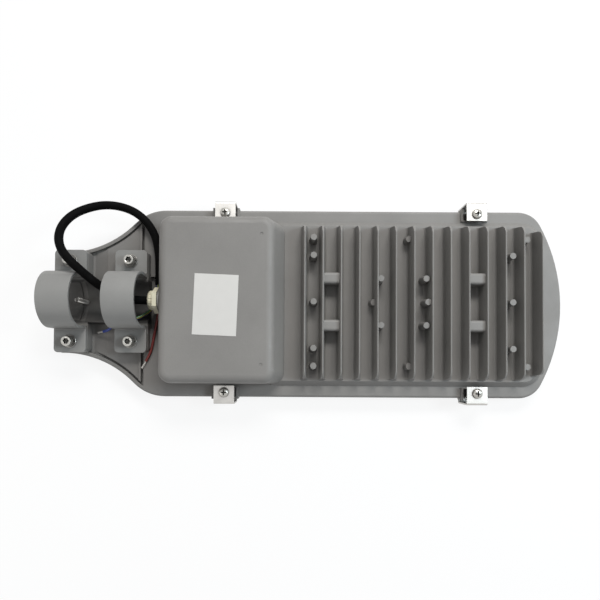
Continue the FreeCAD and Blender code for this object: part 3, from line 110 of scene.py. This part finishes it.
class Nodes(Tree):
    """A material and short calls for its node tree."""

    def __init__(self, name):
        self.material = bpy.data.materials.new(name)
        self.material.use_nodes = True
        super().__init__(self.material.node_tree)
        self.shader = self.tree.nodes["Principled BSDF"]
        self.place = self.add("ShaderNodeTexCoord").outputs["Object"]

    def noise(self, scale, detail=3.0, rough=0.55, stretch=None):
        node = self.add("ShaderNodeTexNoise")
        node.inputs["Scale"].default_value = scale
        node.inputs["Detail"].default_value = detail
        node.inputs["Roughness"].default_value = rough
        place = self.place
        if stretch:
            mapping = self.add("ShaderNodeMapping")
            mapping.inputs["Scale"].default_value = stretch
            self.link(place, mapping.inputs["Vector"])
            place = mapping.outputs["Vector"]
        self.link(place, node.inputs["Vector"])
        return node.outputs["Fac"]

    def spread(self, source, low, high, from_low=0.3, from_high=0.7):
        node = self.add("ShaderNodeMapRange")
        node.inputs["From Min"].default_value = from_low
        node.inputs["From Max"].default_value = from_high
        node.inputs["To Min"].default_value = low
        node.inputs["To Max"].default_value = high
        self.link(source, node.inputs["Value"])
        return node.outputs["Result"]

    def open_share(self, distance, samples=6):
        """How much of a point's surroundings is open within this distance."""
        node = self.add("ShaderNodeAmbientOcclusion", samples=samples)
        node.inputs["Distance"].default_value = distance
        return node.outputs["AO"]

    def ramp(self, source, stops):
        node = self.add("ShaderNodeValToRGB")
        for element, (place, colour) in zip(node.color_ramp.elements, stops):
            element.position = place
            element.color = (*colour, 1)
        self.link(source, node.inputs["Fac"])
        return node.outputs["Color"]

    def mix(self, factor, one, two, blend="MIX"):
        node = self.add("ShaderNodeMix", data_type="RGBA", blend_type=blend)
        for key, value in ((0, factor), (6, one), (7, two)):
            if isinstance(value, (int, float)):
                node.inputs[key].default_value = value
            elif isinstance(value, (tuple, list)):
                node.inputs[key].default_value = (*value, 1)
            else:
                self.link(value, node.inputs[key])
        return node.outputs[2]

    def multiply(self, one, two):
        return self.mix(1.0, one, two, "MULTIPLY")

    def bump(self, source, strength, distance, normal=None):
        node = self.add("ShaderNodeBump")
        node.inputs["Strength"].default_value = strength
        node.inputs["Distance"].default_value = distance
        self.link(source, node.inputs["Height"])
        if normal:
            self.link(normal, node.inputs["Normal"])
        return node.outputs["Normal"]

    def soft_edges(self, radius):
        node = self.add("ShaderNodeBevel", samples=4)
        node.inputs["Radius"].default_value = radius
        return node.outputs["Normal"]

    def set(self, **values):
        for key, value in values.items():
            socket = self.shader.inputs[key.replace("_", " ")]
            if isinstance(value, (int, float, tuple)):
                socket.default_value = value
            else:
                self.link(value, socket)


# Soft borders of the painted shade in the neck's cradle, from and to, in metres in the CAD frame.
NECK_END_X = (0.084, 0.096)
CRADLE_LOW_Z = (-0.030, -0.027)
CRADLE_HALF_Y = (0.0205, 0.0225)
STUD_SIDE_X = (0.0118, 0.0132)
TROUGH_TOP_Z = (-0.0130, -0.0115)
# The cradle's painted shade: its dark colour, its strength past the stud, and its strength beside the
# cradle.
CRADLE_SHADE_TONE = (0.030, 0.029, 0.027)
SHADE_PAST_STUD = 0.90
SHADE_BESIDE_CRADLE = 0.12


def cradle_painted_shade(n):
    """Painted shade on the covered surfaces of the neck, and all along the trough past the stud."""
    # Painted shade: surfaces closed in within 5 cm turn dark, and so does the trough past the stud.
    covered = n.spread(n.open_share(0.05, 8), 1.0, 0.0, 0.36, 0.92)
    axes = n.add("ShaderNodeSeparateXYZ")
    n.link(n.place, axes.inputs[0])
    x, y, z = axes.outputs
    past_stud = n.spread(x, 0.0, SHADE_PAST_STUD, *STUD_SIDE_X)
    trough = n.spread(z, 1.0, 0.0, *TROUGH_TOP_Z)
    painted_shade = n.combine("MAXIMUM", covered, n.combine("MULTIPLY", past_stud, trough))
    neck = n.spread(x, 1.0, 0.0, *NECK_END_X)
    upper = n.spread(z, 0.0, 1.0, *CRADLE_LOW_Z)
    cradle = n.spread(n.combine("ABSOLUTE", y), 1.0, SHADE_BESIDE_CRADLE, *CRADLE_HALF_Y)
    for mask in (neck, upper, cradle):
        painted_shade = n.combine("MULTIPLY", painted_shade, mask)
    return painted_shade


def powder_coat(name, light, dark, edge=0.0005):
    """Grey powder coat: fine orange peel, faint cloudiness, dust and painted shade in corners, painted
    shade in the cradle.
    """
    n = Nodes(name)
    cloud = n.ramp(n.noise(14, 4), [(0.3, dark), (0.7, light)])
    grain = n.spread(n.noise(2600, 2), 0.92, 1.07)
    # Darker in corners and between fins within 1 cm: painted shade, partly dust.
    dust_and_shade = n.spread(n.open_share(0.010), 0.80, 1.03, 0.22, 0.85)
    colour = n.multiply(n.multiply(cloud, grain), dust_and_shade)
    peel = n.bump(n.noise(1500, 2), 0.22, 0.00012, n.soft_edges(edge))
    n.set(Base_Color=n.mix(cradle_painted_shade(n), colour, CRADLE_SHADE_TONE), Metallic=0.0,
          Roughness=n.spread(n.noise(60, 3), 0.46, 0.6), Specular_IOR_Level=0.42,
          Normal=n.bump(n.noise(130, 3), 0.10, 0.0004, peel))
    return n.material


def metal(name, colour, smooth, rough, stretch=None, scale=900, recess_shade_tone=0.25, open_at=0.75, metallic=1.0):
    """Steel with fine lines from rolling or turning, faint stains and painted shade in recesses."""
    n = Nodes(name)
    stain = n.spread(n.noise(90, 4), 0.84, 1.04)
    # Painted shade: recesses and sockets are darkened, down to the given share of the colour.
    painted_recess_shade = n.spread(n.open_share(0.004), recess_shade_tone, 1.0, open_at - 0.45, open_at)
    lines = n.noise(scale, 3, 0.6, stretch)
    n.set(Base_Color=n.multiply(n.multiply(colour, stain), painted_recess_shade), Metallic=metallic,
          Roughness=n.spread(lines, smooth, rough),
          Normal=n.bump(lines, 0.12, 0.00005, n.soft_edges(0.0002)))
    return n.material


def plastic(name, colour, rough=0.45, cloud=0.06, scale=1200, depth=0.00004, edge=0.0003, specular=0.5):
    """Moulded plastic or rubber with a fine matt grain."""
    n = Nodes(name)
    shade = n.spread(n.noise(110, 4), 1 - cloud, 1 + cloud)
    n.set(Base_Color=n.multiply(colour, shade), Metallic=0.0, Specular_IOR_Level=specular,
          Roughness=n.spread(n.noise(240, 3), rough - 0.06, rough + 0.08),
          Normal=n.bump(n.noise(scale, 2), 0.25, depth, n.soft_edges(edge)))
    return n.material


STRIPE_SIDE = Vector((0.35, 0.62, 0.7)).normalized()


def two_colour(name, ground_colour, stripe_colour):
    """Insulation with a stripe that runs along its upper flank."""
    n = Nodes(name)
    flank = n.add("ShaderNodeVectorMath", operation="DOT_PRODUCT")
    n.link(n.add("ShaderNodeTexCoord").outputs["Normal"], flank.inputs[0])
    flank.inputs[1].default_value = STRIPE_SIDE
    stripe = n.spread(flank.outputs["Value"], 0.0, 1.0, 0.52, 0.60)
    n.set(Base_Color=n.mix(stripe, ground_colour, stripe_colour), Metallic=0.0,
          Roughness=n.spread(n.noise(240, 3), 0.32, 0.46),
          Normal=n.bump(n.noise(1200, 2), 0.25, 0.00004))
    return n.material


def clear_glass():
    """Clear toughened glass with a faint green body and light dust."""
    n = Nodes("toughened_glass")
    n.set(Base_Color=n.mix(n.noise(25, 3), (0.93, 0.97, 0.955), (0.96, 0.985, 0.975)),
          Roughness=n.spread(n.noise(40, 5), 0.015, 0.07), Metallic=0.0,
          Normal=n.bump(n.noise(18, 2), 0.02, 0.0002), Transmission_Weight=1.0, IOR=1.5)
    return n.material


casting = powder_coat("casting_coat", (0.207, 0.199, 0.188), (0.176, 0.169, 0.160))
saddle_coat = powder_coat("saddle_coat", (0.236, 0.233, 0.223), (0.204, 0.201, 0.193), 0.0007)
bright_steel = metal("bright_steel", (0.60, 0.585, 0.56), 0.24, 0.38)
clip_steel = metal("clip_steel", (0.58, 0.565, 0.54), 0.34, 0.52, (1.0, 0.3, 0.3), 1800,
                   recess_shade_tone=0.12, open_at=0.85)
socket_steel = metal("socket_steel", (0.47, 0.46, 0.43), 0.24, 0.40, recess_shade_tone=0.03, open_at=0.95)
spring_steel = metal("spring_steel", (0.20, 0.195, 0.185), 0.32, 0.48)
pan_steel = metal("pan_steel", (0.44, 0.43, 0.40), 0.26, 0.42, recess_shade_tone=0.03, open_at=1.0)
washer_steel = metal("washer_steel", (0.36, 0.35, 0.33), 0.30, 0.46, recess_shade_tone=0.1, open_at=0.9)
tin = metal("tinned_strands", (0.62, 0.60, 0.56), 0.34, 0.50, recess_shade_tone=0.7, metallic=0.45)
nylon = plastic("gland_nylon", (0.60, 0.56, 0.42), 0.42)
rubber = plastic("black_rubber", (0.016, 0.016, 0.016), 0.6)
jacket = plastic("cable_jacket", (0.003, 0.003, 0.003), 0.62, 0.2, 700, 0.00006, specular=0.03)
brown = plastic("brown_insulation", (0.15, 0.020, 0.016), 0.42)
blue = plastic("blue_insulation", (0.016, 0.035, 0.20), 0.42)
striped = two_colour("earth_insulation", (0.34, 0.30, 0.035), (0.03, 0.10, 0.03))
red = plastic("lead_insulation", (0.38, 0.02, 0.015), 0.4)
board_mask = plastic("board_white_mask", (0.80, 0.80, 0.77), 0.32, 0.02, 500, 0.00002)
phosphor = plastic("led_phosphor", (0.80, 0.56, 0.10), 0.30, 0.03)
led_frame = plastic("led_frame", (0.82, 0.82, 0.80), 0.4, 0.02)
white_sheet = plastic("white_coated_sheet", (0.78, 0.78, 0.76), 0.4, 0.02, 900, 0.00003)
driver_case = metal("driver_case", (0.62, 0.63, 0.64), 0.36, 0.5, (0.05, 1.0, 1.0))
paper = plastic("label_film", (0.58, 0.565, 0.54), 0.42, 0.015, 300, 0.00001, 0.00005)

FINISH = {
    "housing": casting,
    "outer_pole_saddle": saddle_coat,
    "inner_pole_saddle": saddle_coat,
    "saddle_screws": socket_steel,
    "saddle_spring_washers": spring_steel,
    "saddle_flat_washers": washer_steel,
    "glass_clip_rear_left": clip_steel,
    "glass_clip_rear_right": clip_steel,
    "glass_clip_front_left": clip_steel,
    "glass_clip_front_right": clip_steel,
    "clip_screws": pan_steel,
    "locking_stud": spring_steel,
    "gland_body": nylon,
    "gland_nut": nylon,
    "gland_seal": rubber,
    "gland_locknut": nylon,
    "cable_tail": jacket,
    "driver_input_leads": red,
    "tinned_core_tips": tin,
    "glass": clear_glass(),
    "glass_gasket": rubber,
    "led_board": board_mask,
    "leds": phosphor,
    "led_board_screws": bright_steel,
    "reflector": white_sheet,
    "led_driver": driver_case,
    "driver_screws": bright_steel,
    "driver_cover": white_sheet,
    "driver_cover_screws": bright_steel,
    "dc_leads": red,
    "label": paper,
}
for node, material in FINISH.items():
    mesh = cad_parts[node].data
    mesh.materials.clear()
    mesh.materials.append(material)


# The cords' routes in part.py, as x, y and height over the flange in mm.
CABLE_ROUTE = (
    (79.1, 0.0, 20.0),
    (67.0, 0.0, 20.0), (53.0, 2.4, 21.2), (40.6, 8.4, 25.2), (29.5, 17.0, 32.2), (20.5, 26.0, 39.6),
    (11.6, 34.6, 43.2), (3.4, 45.0, 42.0), (-1.0, 57.4, 37.2), (-0.2, 70.2, 30.6), (6.8, 81.6, 24.4),
    (18.8, 89.4, 19.0), (32.6, 93.8, 14.8), (46.8, 93.6, 11.4), (60.2, 89.4, 8.8), (71.4, 80.8, 7.0),
    (79.2, 69.2, 6.0), (82.9, 57.4, 5.6), (84.6, 45.0, 5.4), (85.0, 31.0, 5.4), (85.0, 17.2, 5.4),
)
BROWN_ROUTE = (
    (86.9, 17.2, 4.6), (86.9, 8.5, 4.6), (85.6, -2.0, 3.8), (83.5, -12.5, 3.0), (81.3, -23.0, 2.2),
    (79.3, -33.5, 1.8), (77.7, -43.2, 1.7), (75.3, -51.6, 1.7), (71.4, -58.6, 1.7),
)
EARTH_ROUTE = (
    (85.0, 17.2, 7.1), (85.0, 9.8, 7.1), (84.0, 2.4, 6.2), (80.6, -4.0, 5.9), (75.6, -9.4, 6.9),
    (70.2, -13.8, 9.8), (64.8, -16.6, 12.8), (59.4, -18.2, 14.4),
)
BLUE_ROUTE = (
    (83.1, 17.2, 4.6), (83.1, 10.4, 4.6), (82.6, 3.6, 3.4), (80.0, -3.4, 2.8), (75.2, -9.2, 3.9),
    (69.6, -14.0, 6.8), (63.6, -17.4, 10.0), (57.0, -19.0, 11.4), (50.6, -20.0, 12.0),
    (44.2, -20.6, 12.2), (39.5, -26.2, 11.0), (35.0, -28.8, 8.4), (30.4, -29.4, 5.6),
)
CABLE_R = 4.0
CORE_R = 1.3


def route_curve(name, route, radius, material):
    """A smooth round cord along a route's points."""
    curve = bpy.data.curves.new(name, "CURVE")
    curve.dimensions = "3D"
    curve.bevel_depth = radius * MM
    curve.bevel_resolution = 6
    curve.use_fill_caps = True
    curve.resolution_u = 10
    spline = curve.splines.new("NURBS")
    spline.points.add(len(route) - 1)
    for point, place in zip(spline.points, route):
        point.co = (*at(*place), 1)
    spline.order_u = 3
    spline.use_endpoint_u = True
    curve.materials.append(material)
    piece = bpy.data.objects.new(name, curve)
    bpy.context.collection.objects.link(piece)
    return piece


def cord_length(piece):
    """Length in metres of a cord's middle line."""
    plain = piece.copy()
    plain.data = piece.data.copy()
    plain.data.bevel_depth = 0
    mesh = bpy.data.meshes.new_from_object(plain)
    points = [v.co.copy() for v in mesh.vertices]
    bpy.data.objects.remove(plain)
    bpy.data.meshes.remove(mesh)
    return sum((b - a).length for a, b in zip(points, points[1:]))


CORDS = (
    ("supply_cable", CABLE_ROUTE, CABLE_R, jacket, "power_cable", "jacket"),
    ("core_brown", BROWN_ROUTE, CORE_R, brown, "brown_core", "core_brown"),
    ("core_earth", EARTH_ROUTE, CORE_R, striped, "earth_core", "core_earth"),
    ("core_blue", BLUE_ROUTE, CORE_R, blue, "blue_core", "core_blue"),
)
for name, route, radius, material, node, slot in CORDS:
    piece = route_curve(name, route, radius, material)
    length = cord_length(piece)
    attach(piece, "root")
    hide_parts(node)


def piece_from(build, name, node, material, angle=32):
    """Finish a mesh as a piece that stands for a CAD node, with edges over this angle sharp."""
    bmesh.ops.recalc_face_normals(build, faces=build.faces)
    mesh = bpy.data.meshes.new(name)
    build.to_mesh(mesh)
    build.free()
    for face in mesh.polygons:
        face.use_smooth = True
    mesh.set_sharp_from_angle(angle=math.radians(angle))
    mesh.materials.append(material)
    piece = bpy.data.objects.new(name, mesh)
    bpy.context.collection.objects.link(piece)
    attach(piece, "root")
    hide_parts(node)


def skin(build, rings, closed=False):
    """Faces between rings of points, with the end rings capped, or joined to each other."""
    pairs = list(zip(rings, rings[1:]))
    if closed:
        pairs.append((rings[-1], rings[0]))
    else:
        build.faces.new(rings[0])
        build.faces.new(rings[-1])
    for one, two in pairs:
        for i in range(len(one)):
            j = (i + 1) % len(one)
            build.faces.new((one[i], one[j], two[j], two[i]))


def turned(build, x, y, profile, count, closed=False):
    """A form round an upright axis.

    The profile is a row of radii and heights. A radius can be a function of the angle,
    and a height one of the angle and the radius.
    """
    rings = []
    for radius, height in profile:
        ring = []
        for i in range(count):
            turn = 2 * math.pi * i / count
            r = radius(turn) if callable(radius) else radius
            h = height(turn, r) if callable(height) else height
            ring.append(build.verts.new(at(x + r * math.cos(turn), y + r * math.sin(turn), h)))
        rings.append(ring)
    skin(build, rings, closed)


def hexagon(across):
    """Radius of a hexagon of this width, as a function of the angle."""
    return lambda turn: across / 2 / math.cos((turn % (math.pi / 3)) - math.pi / 6)


def rounded_square(half, corner=0.76):
    """Radius of a square with rounded corners, as a function of the angle."""
    return lambda turn: half / max(abs(math.cos(turn)), abs(math.sin(turn)), corner)


def thread(radius, depth, pitch, low, high):
    """Profile of a fine screw thread."""
    cut = (0.0, 0.5, 1.0, 0.5)
    steps = int((high - low) / pitch * len(cut))
    return [(radius - depth * cut[i % len(cut)], low + (high - low) * i / steps)
            for i in range(steps + 1)]


# The saddles' screws and washers, in mm as in part.py.
SADDLE_PITCH = 59.0
LUG_SCREW_Y = 39.3
LUG_TOP_HEIGHT = 12.2
FLAT_WASHER_THICK = 1.2
SPRING_WASHER_THICK = 1.8
M6_R = 3.0
M6_PITCH = 1.0
M6_THREAD_DEPTH = 0.3
M6_LENGTH = 18.0
M6_HEAD_HEIGHT = 6.0
M6_SOCKET = 5.0
KNURL_R = 4.93
KNURL_DEPTH = 0.09
KNURL_COUNT = 36
SPRING_CUT = 0.10
SPRING_RISE = 0.5
SPRING_STEPS = 60
FLAT_SECTION = (
    (3.3, 0.0), (6.35, 0.0), (6.5, 0.15), (6.5, 0.95), (6.2, FLAT_WASHER_THICK),
    (3.5, FLAT_WASHER_THICK), (3.3, 1.0),
)
SPRING_SECTION = (
    (3.3, 0.0), (5.5, 0.0), (5.65, 0.15), (5.65, 1.6), (5.5, SPRING_WASHER_THICK),
    (3.3, SPRING_WASHER_THICK),
)


def knurl(turn):
    """Radius of a cap screw's head, as a function of the angle."""
    return KNURL_R + KNURL_DEPTH * math.cos(KNURL_COUNT * turn)


def cap_screw(build, x, y, seat):
    """A threaded screw with a knurled head and a hex socket."""
    top = seat + M6_HEAD_HEIGHT
    socket = hexagon(M6_SOCKET)
    profile = thread(M6_R, M6_THREAD_DEPTH, M6_PITCH, seat - M6_LENGTH, seat)
    profile += [(M6_R, seat), (4.7, seat), (4.95, seat + 0.3), (knurl, seat + 0.5),
                (knurl, top - 1.0), (4.9, top - 0.8), (4.75, top - 0.35), (4.35, top),
                (3.15, top), (socket, top - 0.35), (socket, top - 3.2), (0.3, top - 4.0)]
    turned(build, x, y, profile, 144)


def spring_washer(build, x, y, base):
    """A split ring, with one end pressed lower than the other."""
    rings = []
    for i in range(SPRING_STEPS + 1):
        share = i / SPRING_STEPS
        turn = SPRING_CUT + 2 * (math.pi - SPRING_CUT) * share
        lift = SPRING_RISE * (share - 0.5)
        ring = []
        for r, h in SPRING_SECTION:
            if h > SPRING_WASHER_THICK / 2:
                h = min(h + lift, SPRING_WASHER_THICK)
            ring.append(build.verts.new(at(x + r * math.cos(turn), y + r * math.sin(turn), base + h)))
        rings.append(ring)
    skin(build, rings)


screws, springs, flats = bmesh.new(), bmesh.new(), bmesh.new()
for x in (0.0, SADDLE_PITCH):
    for y in (LUG_SCREW_Y, -LUG_SCREW_Y):
        flat_top = LUG_TOP_HEIGHT + FLAT_WASHER_THICK
        cap_screw(screws, x, y, flat_top + SPRING_WASHER_THICK)
        spring_washer(springs, x, y, flat_top)
        turned(flats, x, y, [(r, LUG_TOP_HEIGHT + h) for r, h in FLAT_SECTION], 64, closed=True)
piece_from(screws, "cap_screws", "saddle_screws", socket_steel)
piece_from(springs, "spring_washers", "saddle_spring_washers", spring_steel)
piece_from(flats, "flat_washers", "saddle_flat_washers", washer_steel)


# The clips' screws, in mm.
M5_R = 2.5
M5_PITCH = 0.8
M5_THREAD_DEPTH = 0.25
M5_LENGTH = 11.5
PAN_R = 4.7
PAN_HEIGHT = 3.2
PAN_SIDE = 0.5
PAN_SEAT_HEIGHT = 9.5
DOME_RINGS = 41
CROSS_REACH = 2.7
CROSS_DEPTH = 1.9
CROSS_END_DEPTH = 0.5
CROSS_SLOPE = 0.9
CROSS_HALF = 0.78
CROSS_TAPER = 0.10
CROSS_FLANK = 0.14


def crossed(x, y, height):
    """Height of a screw head's surface at a point, with its cross recess."""
    arm = max(abs(x), abs(y))
    width = min(abs(x), abs(y))
    half = CROSS_HALF - CROSS_TAPER * arm
    if arm > CROSS_REACH or width > half:
        return height
    depth = min(CROSS_DEPTH, CROSS_END_DEPTH + CROSS_SLOPE * (CROSS_REACH - arm))
    return height - depth * min(1.0, (half - width) / CROSS_FLANK)


def pan_screw(build, x, y, seat):
    """A threaded screw with a domed head and a cross recess."""
    profile = thread(M5_R, M5_THREAD_DEPTH, M5_PITCH, seat - M5_LENGTH, seat)
    profile += [(M5_R, seat), (4.5, seat), (PAN_R, seat + 0.3)]
    for i in range(DOME_RINGS):
        turn = math.pi / 2 * i / DOME_RINGS
        dome = seat + PAN_SIDE + (PAN_HEIGHT - PAN_SIDE) * math.sin(turn) ** 0.75
        profile.append((PAN_R * math.cos(turn),
                        lambda a, r, dome=dome: crossed(r * math.cos(a), r * math.sin(a), dome)))
    turned(build, x, y, profile, 120)


low_corner, high_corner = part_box("clip_screws")
pan_y = high_corner[1] / MM - PAN_R
pans = bmesh.new()
for x in (low_corner[0] / MM + PAN_R, high_corner[0] / MM - PAN_R):
    for y in (pan_y, -pan_y):
        pan_screw(pans, x, y, PAN_SEAT_HEIGHT)
piece_from(pans, "pan_head_screws", "clip_screws", pan_steel, 40)

STUD_R = 2.4
STUD_THREAD_DEPTH = 0.28

low_corner, high_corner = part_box("locking_stud")
stud_x = (low_corner[0] + high_corner[0]) / 2 / MM
stud_low = height_of(low_corner[2])
stud_top = height_of(high_corner[2])
stud_profile = [(1.9, stud_low)]
stud_profile += thread(STUD_R, STUD_THREAD_DEPTH, M5_PITCH, stud_low + 0.5, stud_top - 0.6)
stud_profile += [(1.95, stud_top - 0.1), (1.6, stud_top), (0.4, stud_top - 0.05)]
stud = bmesh.new()
turned(stud, stud_x, 0.0, stud_profile, 36)
piece_from(stud, "threaded_stud", "locking_stud", bright_steel)


# The bare strands at the cores' ends, in mm.
TIP_R = 0.85
TIP_REACH = 8.0
WIRE_R = TIP_R / 3 * 0.98
WIRE_OUT = TIP_R * 2 / 3
WIRE_SIDES = 10
WIRE_STEPS = 24
STRAND_TURN = 2.2
NARROW_FROM = 0.75


def wire(build, end, along, number):
    """One strand: number 0 runs in the middle, and 1 to 6 wind round it."""
    side_way = along.orthogonal().normalized()
    other_way = along.cross(side_way)

    def outward(turn):
        return side_way * math.cos(turn) + other_way * math.sin(turn)

    reach = TIP_REACH * (1 - 0.012 * (number % 3))
    rings = []
    for i in range(WIRE_STEPS + 1):
        t = i / WIRE_STEPS
        middle = end + along * (reach * t * MM)
        if number:
            narrowing = 1.0 - 0.10 * max(t - NARROW_FROM, 0.0)
            middle += outward(math.pi / 3 * number + STRAND_TURN * t) * (WIRE_OUT * narrowing * MM)
        rings.append([build.verts.new(middle + outward(2 * math.pi * k / WIRE_SIDES) * (WIRE_R * MM))
                      for k in range(WIRE_SIDES)])
    skin(build, rings)


strands = bmesh.new()
for route in (BROWN_ROUTE, EARTH_ROUTE, BLUE_ROUTE):
    end = at(*route[-1])
    along = (end - at(*route[-2])).normalized()
    for number in range(7):
        wire(strands, end, along, number)
piece_from(strands, "stranded_tips", "tinned_core_tips", tin, 50)


def island_boxes(node):
    """Low and high corners of each loose solid of a CAD node."""
    build = bmesh.new()
    build.from_mesh(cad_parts[node].data)
    bmesh.ops.remove_doubles(build, verts=build.verts, dist=1e-6)
    seen = set()
    boxes = []
    for start in build.verts:
        if start in seen:
            continue
        seen.add(start)
        stack, found = [start], []
        while stack:
            vert = stack.pop()
            found.append(vert.co.copy())
            for edge in vert.link_edges:
                other = edge.other_vert(vert)
                if other not in seen:
                    seen.add(other)
                    stack.append(other)
        boxes.append([Vector([pick(p[k] for p in found) for k in range(3)]) for pick in (min, max)])
    build.free()
    return boxes


FRAME_EDGE = 0.12

frames, lenses = bmesh.new(), bmesh.new()
for low_place, high_place in island_boxes("leds"):
    middle = (low_place + high_place) / 2
    x, y = middle.x / MM, middle.y / MM
    back, front = height_of(high_place.z), height_of(low_place.z)
    half = (high_place.x - low_place.x) / 2 / MM
    turned(frames, x, y, [
        (rounded_square(half), back), (rounded_square(half), front + FRAME_EDGE),
        (rounded_square(half - FRAME_EDGE), front), (half * 0.80, front),
        (half * 0.72, front + 0.2), (half * 0.5, front + 0.2)], 40)
    turned(lenses, x, y, [
        (half * 0.74, front + 0.3), (half * 0.74, front + 0.16), (half * 0.60, front + 0.08),
        (half * 0.36, front + 0.03), (half * 0.1, front + 0.01)], 32)
piece_from(frames, "led_frames", "leds", led_frame)
piece_from(lenses, "led_lenses", "leds", phosphor)


# The photograph's camera. What lies straight below it is at NADIR_PX in the picture.
LOOK = (0.2188, -0.0564, 0.4750)
ROLL = 0.0059
FOCAL_PX = 500.0
NADIR_PX = (294.0, 360.0)
CENTRE_PX = (294.0, 350.0)
IMAGE_PX = 600
SENSOR_MM = 36

across = Vector((math.cos(ROLL), math.sin(ROLL), 0))
up = Vector((-math.sin(ROLL), math.cos(ROLL), 0))
aim = across * (CENTRE_PX[0] - NADIR_PX[0]) + up * (NADIR_PX[1] - CENTRE_PX[1])
aim = (aim - Vector((0, 0, FOCAL_PX))).normalized()
cam_up = (up - aim * up.dot(aim)).normalized()
cam_turn = Matrix((aim.cross(cam_up), cam_up, -aim)).transposed()
camera_data = bpy.data.cameras.new("photo_camera")
camera_data.sensor_width = SENSOR_MM
camera_data.lens = FOCAL_PX / IMAGE_PX * SENSOR_MM
camera_data.shift_x = (IMAGE_PX / 2 - CENTRE_PX[0]) / IMAGE_PX
camera_data.shift_y = (CENTRE_PX[1] - IMAGE_PX / 2) / IMAGE_PX
camera_data.clip_start = 0.01
camera_data.clip_end = 20
camera = bpy.data.objects.new("photo_camera", camera_data)
camera.matrix_world = Matrix.Translation(LOOK) @ cam_turn.to_4x4()
bpy.context.collection.objects.link(camera)
bpy.context.scene.camera = camera

FLOOR_HALF = 4.0
FLOOR_GAP = 0.0002
FLOOR_WHITE = 0.86          # share of the floor's look that doesn't depend on the light
SKY_LIGHT = 0.30


def ground():
    """White paper below the part: evenly white to the eye, a plain surface to light, open from below."""
    mesh = bpy.data.meshes.new("ground")
    build = bmesh.new()
    bmesh.ops.create_grid(build, x_segments=1, y_segments=1, size=FLOOR_HALF)
    build.to_mesh(mesh)
    build.free()
    floor = bpy.data.objects.new("ground", mesh)
    floor.location = (0.2, 0, cad_box[0][2] - FLOOR_GAP)
    bpy.context.collection.objects.link(floor)
    n = Nodes("ground_paper")
    n.set(Base_Color=n.mix(n.noise(3, 2), (0.86, 0.86, 0.86), (0.88, 0.88, 0.88)), Roughness=0.7)
    mesh.materials.append(n.material)
    white = n.add("ShaderNodeEmission")
    white.inputs["Color"].default_value = (1, 1, 1, 1)
    share = n.combine("MULTIPLY", n.looking_rays(), FLOOR_WHITE)
    surface = n.mix_shaders(share, n.shader.outputs[0], white.outputs[0])
    backfacing = n.add("ShaderNodeNewGeometry").outputs["Backfacing"]
    clear = n.add("ShaderNodeBsdfTransparent").outputs[0]
    n.link(n.mix_shaders(backfacing, surface, clear), n.tree.nodes["Material Output"].inputs["Surface"])


def lamp(name, place, target, size, power, colour):
    """A soft rectangular lamp at a place, turned to a target."""
    data = bpy.data.lights.new(name, "AREA")
    data.shape = "RECTANGLE"
    data.size, data.size_y = size
    data.energy = power
    data.color = colour
    light = bpy.data.objects.new(name, data)
    light.location = place
    light.rotation_euler = (Vector(target) - Vector(place)).to_track_quat("-Z", "Y").to_euler()
    bpy.context.collection.objects.link(light)


def studio():
    """A world that lights the part dimly and looks white."""
    world = bpy.data.worlds.new("studio")
    world.use_nodes = True
    bpy.context.scene.world = world
    tree = Tree(world.node_tree)
    light = world.node_tree.nodes["Background"]
    light.inputs["Color"].default_value = (0.95, 0.97, 1.0, 1)
    light.inputs["Strength"].default_value = SKY_LIGHT
    backdrop = tree.add("ShaderNodeBackground")
    backdrop.inputs["Color"].default_value = (1, 1, 1, 1)
    both = tree.mix_shaders(tree.looking_rays(), light.outputs[0], backdrop.outputs[0])
    tree.link(both, world.node_tree.nodes["World Output"].inputs["Surface"])


ground()
lamp("key", (0.50, 1.18, 1.22), (0.26, 0.0, 0.0), (1.0, 0.40), 24.5, (1.0, 0.988, 0.968))
lamp("fill", (-0.30, -0.26, 0.32), (0.04, -0.04, 0.0), (0.30, 0.30), 0.48, (1.0, 0.985, 0.96))
lamp("side", (1.20, 0.10, 0.90), (0.42, 0.0, 0.0), (0.4, 0.4), 9.0, (0.82, 0.93, 1.0))
studio()

bpy.context.scene.view_settings.view_transform = "Standard"
